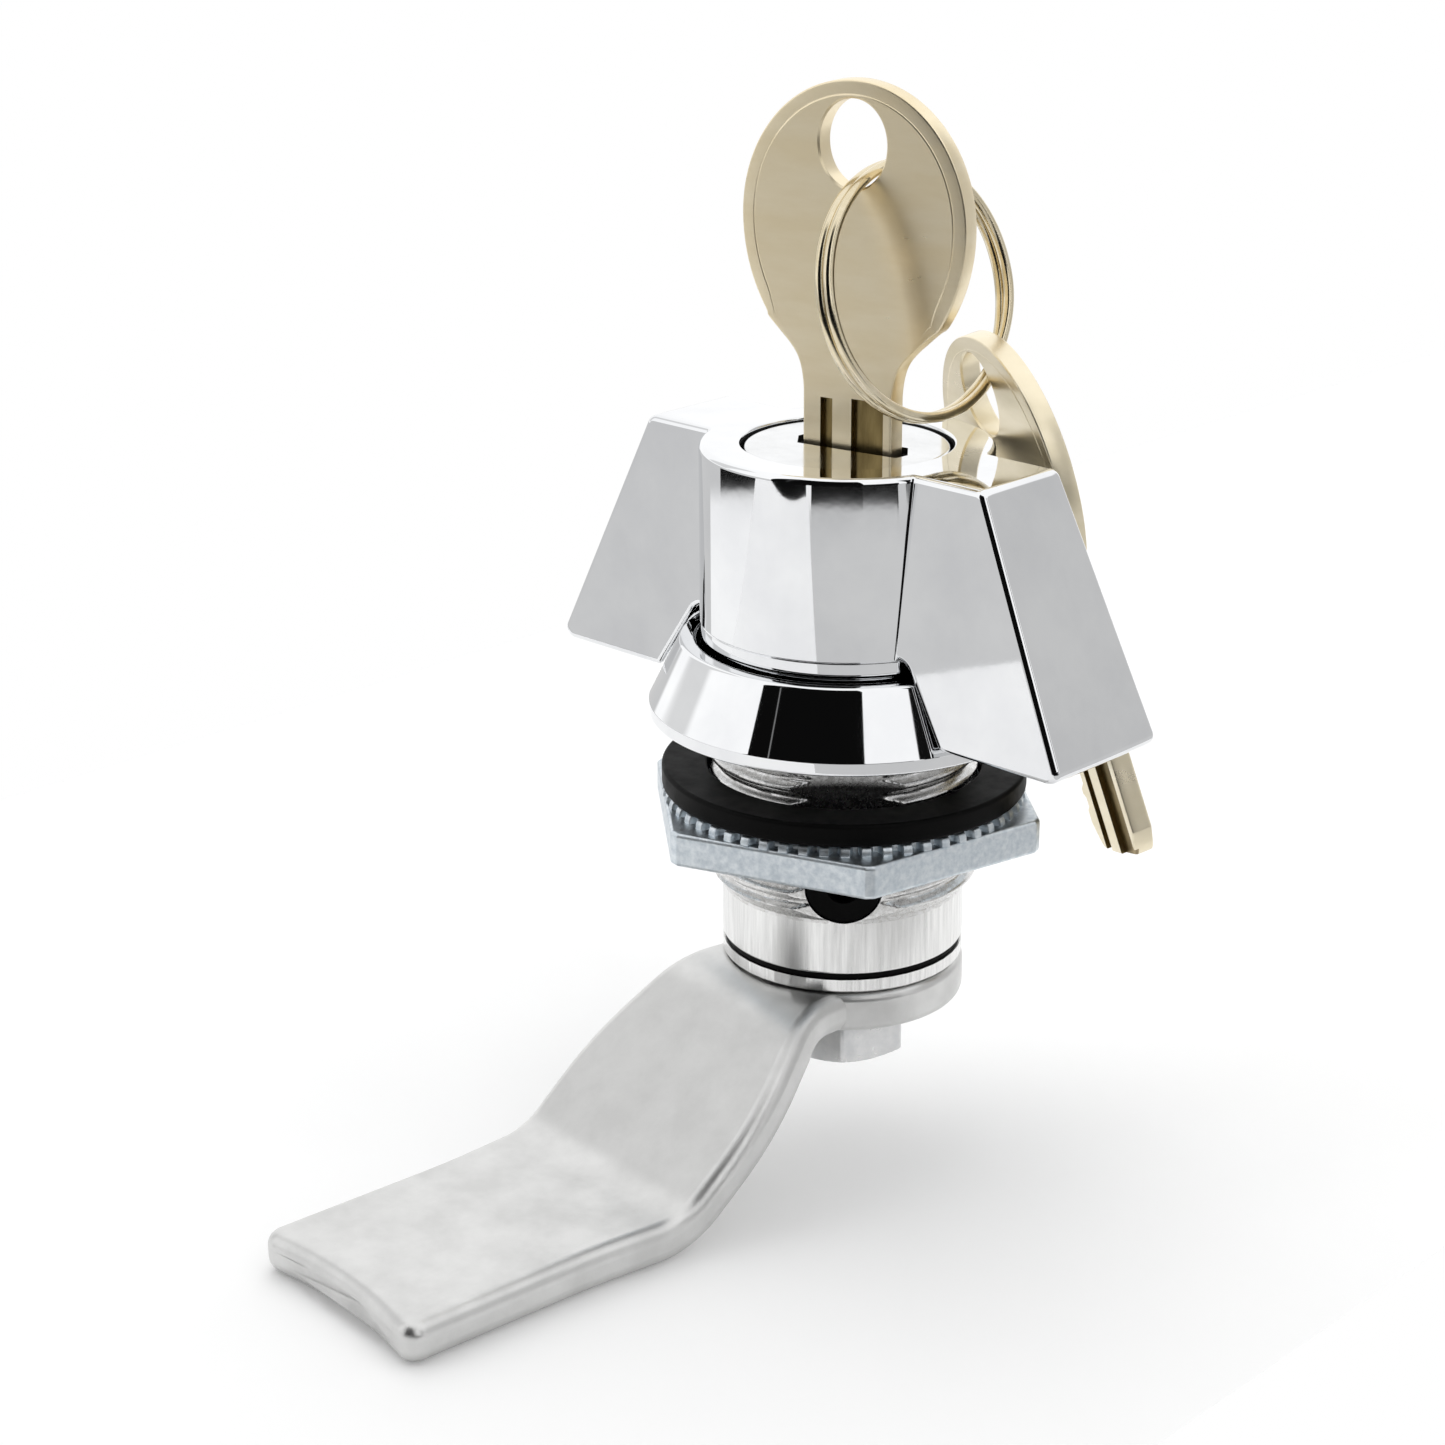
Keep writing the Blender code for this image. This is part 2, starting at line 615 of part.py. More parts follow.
def key_outline():
    """Bow of two half ellipses, soft neck and straight blade; the bow sits off the blade's middle."""
    halves = []
    for side in (1.0, -1.0):
        half = []
        for k in range(0, 18):
            a = math.radians(90.0 - 7.5 * k)
            tall = KEY_BOW_UP if k <= 12 else KEY_BOW_LOW
            half.append((KEY_HOLE_W + side * KEY_BOW_R * math.cos(a), KEY_BOW_Z + tall * math.sin(a)))
        half += [(side * w, z) for w, z in KEY_NECK]
        half += [(side * KEY_HALF, KEY_TIP_Z + 2.2), (side * (KEY_HALF - 0.9), KEY_TIP_Z + 0.3)]
        half.append((side * (KEY_HALF - 1.6), KEY_TIP_Z))
        halves.append(half)
    right, left = halves
    return right + left[:0:-1]


def make_key(name):
    """Flat key in its own frame: x across, y along, z through."""
    obj = prism(name, key_outline(), -KEY_T / 2, KEY_T / 2)
    cut(obj, prism("hole", circle(3.0, 28, (KEY_HOLE_W, KEY_HOLE_Z), 3.45), -3.0, 3.0))
    cut(obj, box("groove", (-2.45, 0.0, 0.45), (-1.35, 26.0, 3.0)))
    cut(obj, box("groove", (0.4, 0.0, 0.45), (3.3, 26.2, 3.0)))
    cut(obj, box("groove", (-0.6, 0.0, -3.0), (0.9, 26.0, -0.4)))
    for y, d in ((19.0, 0.5), (16.9, 0.9), (14.8, 0.35), (12.7, 0.7), (10.6, 0.5)):
        notch = [(-5.0, y - 1.0 - d), (-KEY_HALF + d, y - 0.4), (-KEY_HALF + d, y + 0.4), (-5.0, y + 1.0 + d)]
        cut(obj, prism("notch", notch, -3.0, 3.0))
    return obj


def make_key_in_lock():
    """The key standing in the plug, grooved face toward the front."""
    obj = make_key("key_1")
    a = math.radians(KEYWAY_AZ)
    across = Vector((math.cos(a), math.sin(a), 0.0))
    along = Vector((0.0, 0.0, 1.0))
    m = Matrix((across, along, across.cross(along))).transposed().to_4x4()
    m.translation = across * KEY_OFF
    return finish(move(obj, m), SILVER)


def make_spare_key():
    """The second key hanging from the ring behind the wing."""
    obj = make_key("key_2")
    down = Vector(KEY2_DOWN).normalized()
    wide = Vector(KEY2_WIDE)
    wide = (wide - down * wide.dot(down)).normalized()
    m = Matrix((-wide, -down, wide.cross(down))).transposed().to_4x4()
    hole = Vector((KEY_HOLE_W, KEY_HOLE_Z, 0.0))
    m.translation = Vector(KEY2_HOLE) - m.to_3x3() @ hole
    return finish(set_origin(move(obj, m), KEY2_PIVOT), SILVER)


def make_ring():
    """Split ring: two touching coils of round wire with a step between."""
    normal = Vector(RING_N).normalized()
    ax = normal.cross(Vector((0.0, 0.0, 1.0))).normalized()
    ay = normal.cross(ax)
    steps = 84
    sec = 6
    sections = []
    for s in range(steps + 1):
        t = s / steps
        ang = math.radians(RING_START) + 2.0 * math.pi * RING_TURNS * t
        blend = min(max((t - 0.5) / 0.09 + 0.5, 0.0), 1.0)
        rise = RING_PITCH * (blend * blend * (3 - 2 * blend) - 0.5)
        out = ax * math.cos(ang) + ay * math.sin(ang)
        centre = Vector(RING_C) + out * RING_R + normal * rise
        ring = []
        for k in range(sec):
            b = 2.0 * math.pi * k / sec
            ring.append(tuple(centre + out * (RING_WIRE_R * math.cos(b)) + normal * (RING_WIRE_R * math.sin(b))))
        sections.append(ring)
    return finish(set_origin(loft("key_ring", sections), RING_PIVOT), SILVER)


def main():
    """Build every part of the latch."""
    clear_scene()
    make_housing()
    make_nut()
    make_gasket()
    make_detent()
    make_handle()
    make_spindle()
    make_cam()
    make_fasteners()
    make_seals()
    make_sleeve()
    make_plug()
    make_wafers()
    make_bolt()
    make_key_in_lock()
    make_spare_key()
    make_ring()


main()
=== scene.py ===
"""Looks of a wing-handle quarter-turn cam latch with a key cylinder, two keys and a split ring.

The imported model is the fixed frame.  Visible pieces are rebuilt as fine surfaces in the same
frame (origin on the latch axis at the flange underside, +Z toward the handle), hidden hardware
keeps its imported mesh, and every piece gets a node-based finish.  Sizes are in millimetres.
"""

import logging
import math
from dataclasses import dataclass
from enum import Enum
from typing import Optional, Sequence

import bmesh
import bpy
import numpy as np
from mathutils import Matrix, Vector


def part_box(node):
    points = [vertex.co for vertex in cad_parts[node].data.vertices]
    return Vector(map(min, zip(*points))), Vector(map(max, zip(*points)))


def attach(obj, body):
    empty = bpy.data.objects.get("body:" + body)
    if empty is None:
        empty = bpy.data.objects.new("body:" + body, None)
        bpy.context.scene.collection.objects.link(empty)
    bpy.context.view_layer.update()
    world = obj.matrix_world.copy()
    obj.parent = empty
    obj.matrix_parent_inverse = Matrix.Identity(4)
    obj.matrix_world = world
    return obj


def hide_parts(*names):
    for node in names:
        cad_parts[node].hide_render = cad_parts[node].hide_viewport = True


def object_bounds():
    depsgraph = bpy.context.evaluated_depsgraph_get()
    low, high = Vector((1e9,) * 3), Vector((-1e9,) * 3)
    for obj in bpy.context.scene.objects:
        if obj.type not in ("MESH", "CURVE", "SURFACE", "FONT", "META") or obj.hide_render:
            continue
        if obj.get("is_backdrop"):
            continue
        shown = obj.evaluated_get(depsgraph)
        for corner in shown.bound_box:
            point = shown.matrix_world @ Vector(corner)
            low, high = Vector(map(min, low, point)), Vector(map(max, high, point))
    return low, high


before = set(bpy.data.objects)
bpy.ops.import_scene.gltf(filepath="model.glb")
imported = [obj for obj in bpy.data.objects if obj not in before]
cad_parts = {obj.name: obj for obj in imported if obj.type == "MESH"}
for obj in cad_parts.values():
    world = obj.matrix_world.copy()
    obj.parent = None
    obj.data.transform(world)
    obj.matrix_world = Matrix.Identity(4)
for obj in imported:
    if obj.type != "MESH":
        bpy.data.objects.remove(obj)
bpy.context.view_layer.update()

Pair = tuple[float, float]
Triple = tuple[float, float, float]
Piece = bpy.types.Object
Tree = bpy.types.NodeTree
Socket = bpy.types.NodeSocket

MM = 0.001
SHARP = 34.0  # faces that meet at more degrees than this keep a sharp edge
TURN = 2.0 * math.pi
QUARTER = 0.5 * math.pi
WHITE = (1.0, 1.0, 1.0, 1.0)
LOG = logging.getLogger("latch")


class Bool(Enum):
    """Ways two solids are combined."""

    ADD = "UNION"
    CUT = "DIFFERENCE"


# ---------------------------------------------------------------- colours and nodes


def srgb(code: str) -> tuple[float, float, float, float]:
    """Linear colour of an sRGB hex code.

    Args:
        code: Colour as "#RRGGBB".

    Returns:
        Linear red, green, blue and an alpha of one.
    """
    value = np.array([int(code[i:i + 2], 16) for i in (1, 3, 5)]) / 255.0
    line = np.where(value <= 0.04045, value / 12.92, ((value + 0.055) / 1.055) ** 2.4)
    return (float(line[0]), float(line[1]), float(line[2]), 1.0)


def feed(tree: Tree, node: bpy.types.Node, inputs: dict) -> None:
    """Set a node's sockets by name or index; an output socket as the value is linked in."""
    for socket, value in inputs.items():
        if isinstance(value, Socket):
            tree.links.new(value, node.inputs[socket])
        else:
            node.inputs[socket].default_value = value


def add(tree: Tree, kind: str, inputs: Optional[dict] = None, **settings) -> bpy.types.Node:
    """Add a node with its settings, its socket values and its links.

    Args:
        tree: Node tree that takes the node.
        kind: Node type without the ShaderNode prefix.
        inputs: What the sockets are fed with.
        settings: Node properties.

    Returns:
        The new node.
    """
    node = tree.nodes.new("ShaderNode" + kind)
    for name, value in settings.items():
        setattr(node, name, value)
    feed(tree, node, inputs or {})
    return node


def noise(tree: Tree, place: Socket, size: float, detail: float,
          rough: float) -> Socket:
    """Noise whose features are about size millimetres apart."""
    return add(tree, "TexNoise", {"Vector": place, "Scale": 1.0 / (size * MM), "Detail": detail,
                                  "Roughness": rough}).outputs["Fac"]


def span(tree: Tree, value: Socket, low: float, high: float,
         first: float = 0.0, last: float = 1.0, **settings) -> Socket:
    """A value carried from the range low to high onto the range first to last and held there."""
    return add(tree, "MapRange", {"Value": value, "From Min": low, "From Max": high,
                                  "To Min": first, "To Max": last}, **settings).outputs["Result"]


@dataclass(frozen=True)
class Finish:
    """A finish made of a base, broad patches, fine grain and thin scratches.

    Patch is the width in millimetres of the slow colour and gloss changes, grain the spacing of
    the bump and height its depth; stretch squeezes both along each axis.  Scratch is the spacing
    of the thin lines, with their depth and their turn in degrees.  Sheen level is the strength of
    the reflection of what is no metal, and glow a faint light of its own.
    """

    name: str
    light: str
    dark: str
    metallic: float
    rough_low: float
    rough_high: float
    patch: float
    grain: float
    height: float
    stretch: Triple = (1.0, 1.0, 1.0)
    scratch: float = 0.0
    scratch_height: float = 0.0
    scratch_turn: float = 30.0
    sheen_level: float = 0.5
    glow: float = 0.0

    def build(self) -> bpy.types.Material:
        """Make the material: noise of the patch size mixes colour and roughness, the others bump it."""
        found = bpy.data.materials.get(self.name)
        if found:
            return found
        mat = bpy.data.materials.new(self.name)
        mat.use_nodes = True
        tree = mat.node_tree
        shader = tree.nodes["Principled BSDF"]
        place = add(tree, "TexCoord").outputs["Object"]
        along = add(tree, "Mapping", {"Vector": place, "Scale": self.stretch}).outputs["Vector"]
        patch = noise(tree, along, self.patch, 4.0, 0.6)
        mix = add(tree, "Mix", {"Factor": span(tree, patch, 0.35, 0.65), 6: srgb(self.light),
                                7: srgb(self.dark)}, data_type="RGBA")
        grain = noise(tree, along, self.grain, 3.0, 0.55)
        last = add(tree, "Bump", {"Height": grain, "Strength": 1.0,
                                  "Distance": self.height * MM}).outputs["Normal"]
        for sign, tilt in ((1.0, 0.6), (-1.0, 0.35)) if self.scratch else ():
            turn = (0.0, tilt * sign, math.radians(self.scratch_turn * sign))
            line = add(tree, "Mapping", {"Vector": place, "Scale": (1.0, 0.03, 0.35), "Rotation": turn})
            thin = noise(tree, line.outputs["Vector"], self.scratch, 2.0, 0.5)
            last = add(tree, "Bump", {"Height": span(tree, thin, 0.60, 0.68), "Strength": 1.0,
                                      "Distance": self.scratch_height * MM, "Normal": last},
                       invert=True).outputs["Normal"]
        feed(tree, shader, {"Base Color": mix.outputs[2],
                            "Roughness": span(tree, patch, 0.3, 0.7, self.rough_low, self.rough_high),
                            "Metallic": self.metallic, "Specular IOR Level": self.sheen_level,
                            "Emission Color": WHITE, "Emission Strength": self.glow, "Normal": last})
        return mat


# Bright decorative chromium over a polished zinc die casting: a mirror with the faint waviness of
# hand buffing and a few dull finger marks.
CHROME = Finish("bright_chrome_plate", "#EDEEEF", "#E4E5E7", 1.0, 0.012, 0.045, 9.0, 3.2, 0.0010)
# Plug face of the lock: the same chrome over a less polished turning, so reflections blur.
SATIN_CHROME = Finish("satin_chrome_plate", "#E6E7E8", "#DCDDDE", 1.0, 0.10, 0.17, 3.0, 0.5, 0.0012)
# Unpolished plated casting on the threaded shank: grainy grey metal.  The real grain of about
# 0.05 mm is drawn at 0.12 mm so that it shows.
CAST = Finish("nickel_plated_zinc_casting", "#E6E6E6", "#CFCECC", 1.0, 0.20, 0.32, 0.5, 0.12, 0.0025,
              stretch=(1.0, 1.0, 1.4))
# Turned and plated lower cylinder: fine upright streaks under a soft gloss.
TURNED = Finish("turned_nickel_plate", "#F0F0EF", "#DEDEDD", 1.0, 0.20, 0.28, 0.35, 0.16, 0.005,
                stretch=(1.0, 1.0, 0.05))
# Blue-passivated zinc plate on the pressed nut: blue grey, speckled and dull.  The spangle is
# drawn at 0.25 mm.
ZINC = Finish("blue_passivated_zinc_plate", "#DFE5E9", "#C8D1D8", 1.0, 0.32, 0.46, 0.55, 0.22, 0.009,
              scratch=0.5, scratch_height=0.003)
# Barrel-tumbled nickel plate on the stamped cam: soft satin with fine crossing scratches.
TUMBLED = Finish("tumbled_nickel_plate", "#D7D7D6", "#CDCDCC", 1.0, 0.28, 0.40, 4.0, 0.25, 0.006,
                 scratch=0.3, scratch_height=0.0035)
# Stamped and tumbled nickel silver of the keys: warm beige, satin, grained across the bow.
NICKEL_SILVER = Finish("tumbled_nickel_silver", "#F3E6C8", "#ECDDBB", 1.0, 0.27, 0.36, 2.5, 0.16, 0.0022,
                       stretch=(0.25, 0.25, 1.0))
# Painted light: the spare key's nickel silver is drawn paler all over, a lit copy of the key's metal for
# the light that washes over it.
LIT_SILVER = Finish("nickel_silver_painted_light", "#F3E8CE", "#EADFC2", 1.0, 0.26, 0.36, 3.0, 0.16, 0.0022,
                     stretch=(0.25, 0.25, 1.0))
# Milled wards and cuts of the keys, unpolished; their brown, darker than the faces, is painted shade in the
# narrow grooves.
MILLED_SHADED = Finish("milled_nickel_silver_painted_shade", "#A08C5E", "#7C6A44", 1.0, 0.28, 0.45, 0.8, 0.12, 0.006,
                stretch=(1.0, 1.0, 0.15))
# Drawn spring wire of the split ring: bright, warm, with lines along the wire.
WIRE = Finish("drawn_nickel_silver_wire", "#E6DBC2", "#D8CBAC", 1.0, 0.12, 0.2, 2.0, 0.3, 0.002)
# Moulded EPDM rubber: nearly black, matt, with the fine texture of the mould.
RUBBER = Finish("moulded_epdm_rubber", "#060606", "#0A0A0A", 0.0, 0.42, 0.55, 1.5, 0.12, 0.004,
                sheen_level=0.07)
# Hardened steel ball and pins, ground and slightly dark with oil.
BALL = Finish("ground_bearing_steel", "#C4C5C7", "#A9ABAE", 1.0, 0.12, 0.22, 0.8, 0.3, 0.002)
# Satin zinc-plated steel of screws, dowels and washer.
STEEL = Finish("satin_zinc_plated_steel", "#E4E4E4", "#D6D7D8", 1.0, 0.26, 0.36, 1.5, 0.15, 0.006)
# Machined brass of the cylinder's inner works, lightly oxidised.
BRASS = Finish("machined_brass", "#D8B66A", "#BE9850", 1.0, 0.22, 0.36, 1.8, 0.12, 0.004,
               stretch=(1.0, 1.0, 6.0))
# Painted shade: near-black, dull walls inside the bore, keyway, chambers and channels stand for the shade
# in these deep hollows.
HOLLOW_SHADE = Finish("painted_shade_hollows", "#1A1A1B", "#101011", 0.0, 0.45, 0.6, 1.2, 0.15, 0.004,
                 sheen_level=0.25)
# Matt white baryta paper of the floor: a barely visible tooth, and a faint glow as on a light table.
PAPER = Finish("matt_white_paper", "#F8F8F8", "#F6F6F6", 0.0, 0.8, 0.9, 30.0, 0.8, 0.002, glow=0.11)


# ---------------------------------------------------------------- surfaces


def tidy_mesh(mesh: bpy.types.Mesh) -> None:
    """Merge coincident points, drop faces without area and point all faces outward."""
    bm = bmesh.new()
    bm.from_mesh(mesh)
    bmesh.ops.remove_doubles(bm, verts=bm.verts, dist=2e-7)
    bmesh.ops.dissolve_degenerate(bm, edges=bm.edges, dist=1e-7)
    bmesh.ops.recalc_face_normals(bm, faces=bm.faces)
    bm.to_mesh(mesh)
    bm.free()


def link(name: str, verts: np.ndarray, faces: list, slots: Optional[np.ndarray] = None) -> Piece:
    """Object from points in millimetres and a face list.

    Args:
        name: Piece name.
        verts: Points, shape (n, 3).
        faces: Corner numbers of each face.
        slots: Material slot number of each face.

    Returns:
        The linked object, welded and facing outward.
    """
    mesh = bpy.data.meshes.new(name)
    mesh.from_pydata((np.asarray(verts, float) * MM).tolist(), [], faces)
    if slots is not None:
        mesh.polygons.foreach_set("material_index", slots.astype(np.int32))
    tidy_mesh(mesh)
    obj = bpy.data.objects.new(name, mesh)
    bpy.context.scene.collection.objects.link(obj)
    return obj


def skin(name: str, grid: np.ndarray, wrap_rows: bool = True, bands: Optional[np.ndarray] = None,
         caps: bool = False) -> Piece:
    """Surface through a grid of points whose columns close on themselves.

    Each quad joins a point with its neighbours in the next column and the next row.  Rows whose
    points all coincide become poles when the mesh is welded.

    Args:
        name: Piece name.
        grid: Points in millimetres, shape (rows, columns, 3).
        wrap_rows: Whether the last row joins the first.
        bands: Material slot of each row of quads.
        caps: Whether the first and last rows are closed by flat faces.

    Returns:
        The new object.
    """
    rows, cols = grid.shape[:2]
    index = np.arange(rows * cols).reshape(rows, cols)
    side = np.roll(index, -1, axis=1)
    quads = np.stack([index, side, np.roll(side, -1, axis=0), np.roll(index, -1, axis=0)], axis=-1)
    if not wrap_rows:
        quads = quads[:-1]
    faces = quads.reshape(-1, 4).tolist()
    slots = None
    if bands is not None:
        slots = np.repeat(np.asarray(bands)[: quads.shape[0]], cols)
    if caps:
        faces.append(index[0][::-1].tolist())
        faces.append(index[-1].tolist())
        if slots is not None:
            slots = np.append(slots, [slots[0], slots[-1]])
    return link(name, grid.reshape(-1, 3), faces, slots)


def inset(outline: np.ndarray, amount: float | np.ndarray) -> np.ndarray:
    """Move an anticlockwise outline inward.

    Each corner moves along the sum of its two edge normals, divided by one plus their product,
    so that both edges shift by the amount.

    Args:
        outline: Corners, shape (n, 2).
        amount: Distance, one number or one for each corner.

    Returns:
        The moved corners.
    """
    edge = np.roll(outline, -1, axis=0) - outline
    edge /= np.linalg.norm(edge, axis=1, keepdims=True)
    normal = np.stack([-edge[:, 1], edge[:, 0]], axis=1)
    before = np.roll(normal, 1, axis=0)
    share = 1.0 + np.sum(normal * before, axis=1, keepdims=True)
    return outline + np.reshape(amount, (-1, 1)) * (normal + before) / share


def rounded(corners: Sequence[Sequence[float]], closed: bool = True, steps: int = 6,
            hold: float = 0.03) -> np.ndarray:
    """Outline whose corners are replaced by tangent arcs.

    An arc of radius r in a corner of half angle h starts r / tan(h) from the corner.  A holding
    point just outside each end of the arc keeps the shading of the straight part flat.

    Args:
        corners: Each corner as x, y and radius.
        closed: Whether the outline closes on itself.
        steps: Arc divisions.
        hold: Distance of the holding points.

    Returns:
        Points, shape (n, 2).
    """
    pts = np.array([c[:2] for c in corners], float)
    out = []
    count = len(pts)
    for i, corner in enumerate(corners):
        ends = not closed and i in (0, count - 1)
        back = pts[i - 1] - pts[i]
        fore = pts[(i + 1) % count] - pts[i]
        back_l, fore_l = np.linalg.norm(back), np.linalg.norm(fore)
        if ends or corner[2] <= 0.0 or back_l < 1e-6 or fore_l < 1e-6:
            out.append(pts[i:i + 1])
            continue
        back, fore = back / back_l, fore / fore_l
        half = 0.5 * math.acos(float(np.clip(back @ fore, -1.0, 1.0)))
        reach = min(corner[2] / math.tan(half), 0.45 * back_l, 0.45 * fore_l)
        radius = reach * math.tan(half)
        middle = (back + fore) / np.linalg.norm(back + fore)
        centre = pts[i] + middle * radius / math.sin(half)
        start = pts[i] + back * reach - centre
        end = pts[i] + fore * reach - centre
        first = math.atan2(start[1], start[0])
        sweep = (math.atan2(end[1], end[0]) - first + math.pi) % TURN - math.pi
        t = first + sweep * np.linspace(0.0, 1.0, steps + 1)
        gap = min(hold, 0.04 * back_l, 0.04 * fore_l)
        out.append((centre + start + back * gap)[None])
        out.append(centre + radius * np.stack([np.cos(t), np.sin(t)], axis=1))
        out.append((centre + end + fore * gap)[None])
    return np.concatenate(out)


def ease(x: np.ndarray) -> np.ndarray:
    """Smooth step: the value held between 0 and 1, then three times its square less twice its cube."""
    x = np.clip(x, 0.0, 1.0)
    return x * x * (3.0 - 2.0 * x)


def angles(segs: int) -> np.ndarray:
    """Even angles of one turn."""
    return np.linspace(0.0, TURN, segs, endpoint=False)


def hexagon(a: np.ndarray, flats: float, eased: float) -> np.ndarray:
    """Radius of a hexagon over the angle.

    It is half the flats' distance over the cosine of the angle from the nearest flat's normal,
    and the corners are cut back by the eased length.
    """
    away = a % (TURN / 6.0) - TURN / 12.0
    return np.minimum(flats / 2.0 / np.cos(away), flats / 2.0 / math.cos(TURN / 12.0) - eased)


def rings(a: np.ndarray, rows: Sequence[tuple]) -> np.ndarray:
    """Grid of level rings, each row with its radius (one number or one for each angle) and height."""
    return np.stack([np.stack([r * np.cos(a), r * np.sin(a), np.full_like(a, z)], axis=-1)
                     for r, z in rows])


def turned(profile: np.ndarray, segs: int) -> np.ndarray:
    """Grid of a profile (r, z) turned about the Z axis: x = r cos a, y = r sin a."""
    a = angles(segs)
    r, z = profile[:, :1], profile[:, 1:2]
    return np.stack([r * np.cos(a), r * np.sin(a), z + 0.0 * a], axis=-1)


def lathe(name: str, corners: Sequence[Sequence[float]], segs: int = 192, closed: bool = True,
          steps: int = 5) -> Piece:
    """Turned solid from profile corners (r, z, rounding); an open profile starts and ends on the axis."""
    return skin(name, turned(rounded(corners, closed, steps), segs), wrap_rows=closed)


def prism(name: str, outline: Sequence[Sequence[float]], low: float, high: float) -> Piece:
    """Straight solid on a plan outline between two heights."""
    plan = np.asarray(outline, float)
    grid = np.stack([np.column_stack([plan, np.full(len(plan), z)]) for z in (low, high)])
    return skin(name, grid, wrap_rows=False, caps=True)


def spin(obj: Piece, az: float) -> None:
    """Turn a mesh about Z by az degrees."""
    obj.data.transform(Matrix.Rotation(math.radians(az), 4, "Z"))


def slab(name: str, low: Sequence[float], high: Sequence[float], az: float = 0.0) -> Piece:
    """Rectangular cutter between two corners, turned about Z by az degrees."""
    plan = [(low[0], low[1]), (high[0], low[1]), (high[0], high[1]), (low[0], high[1])]
    obj = prism(name, plan, low[2], high[2])
    spin(obj, az)
    return obj


def circle(r: float, segs: int, centre: Sequence[float] = (0.0, 0.0)) -> np.ndarray:
    """Plan points of a circle: centre plus r times the cosine and sine of even steps."""
    a = angles(segs)
    return np.stack([centre[0] + r * np.cos(a), centre[1] + r * np.sin(a)], axis=1)


def radial(name: str, r: float, az: float, z: float, start: float, stop: float) -> Piece:
    """Cylindrical cutter lying along a radius of the latch."""
    obj = prism(name, circle(r, 96), start, stop)
    a = math.radians(az)
    side = Vector((-math.sin(a), math.cos(a), 0.0))
    out = Vector((math.cos(a), math.sin(a), 0.0))
    m = Matrix((side, Vector((0.0, 0.0, 1.0)), out)).transposed().to_4x4()
    m.translation = Vector((0.0, 0.0, z * MM))
    obj.data.transform(m)
    return obj


def wear(obj: Piece, *finishes: Finish) -> Piece:
    """Fill the material slots of a mesh, whose faces keep their slot numbers.

    Args:
        obj: Piece without materials.
        finishes: One finish for each slot.

    Returns:
        The same piece.
    """
    numbers = np.zeros(len(obj.data.polygons), np.int32)
    obj.data.polygons.foreach_get("material_index", numbers)
    for finish in finishes:
        obj.data.materials.append(finish.build())
    obj.data.polygons.foreach_set("material_index", numbers)
    return obj


def combine(target: Piece, mode: Bool, *others: Piece,
            slot: int = 0) -> Piece:
    """Exact Boolean of a solid with others, which are used up.

    Args:
        target: Solid that is changed.
        mode: How they are combined.
        others: Solids added or cut away.
        slot: Material slot of the target that the new faces take.

    Returns:
        The target.
    """
    for other in others:
        for mat in target.data.materials:
            other.data.materials.append(mat)
        other.data.polygons.foreach_set("material_index",
                                        np.full(len(other.data.polygons), slot, np.int32))
        mod = target.modifiers.new("combine", "BOOLEAN")
        mod.operation = mode.value
        mod.solver = "EXACT"
        mod.object = other
        graph = bpy.context.evaluated_depsgraph_get()
        fresh = bpy.data.meshes.new_from_object(target.evaluated_get(graph))
        target.modifiers.clear()
        target.data = fresh
        bpy.data.objects.remove(other, do_unlink=True)
    return target


def dress(obj: Piece, body: str, slot: str, *nodes: str) -> Piece:
    """Give a finished piece its shading and body, and let it stand for CAD nodes.

    Args:
        obj: Piece.
        body: CAD body that it moves with.
        slot: Not used.
        nodes: CAD nodes that it replaces.

    Returns:
        The same piece.
    """
    obj.data.shade_smooth()
    obj.data.set_sharp_from_angle(angle=math.radians(SHARP))
    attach(obj, body)
    if nodes:
        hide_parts(*nodes)
    LOG.info("%s: %d faces on body %s", obj.name, len(obj.data.polygons), body)
    return obj


def edge_of(node: str) -> list[list[float]]:
    """Lowest and highest corner of a CAD node in millimetres."""
    return [[float(value) / MM for value in corner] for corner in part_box(node)]


# ---------------------------------------------------------------- housing


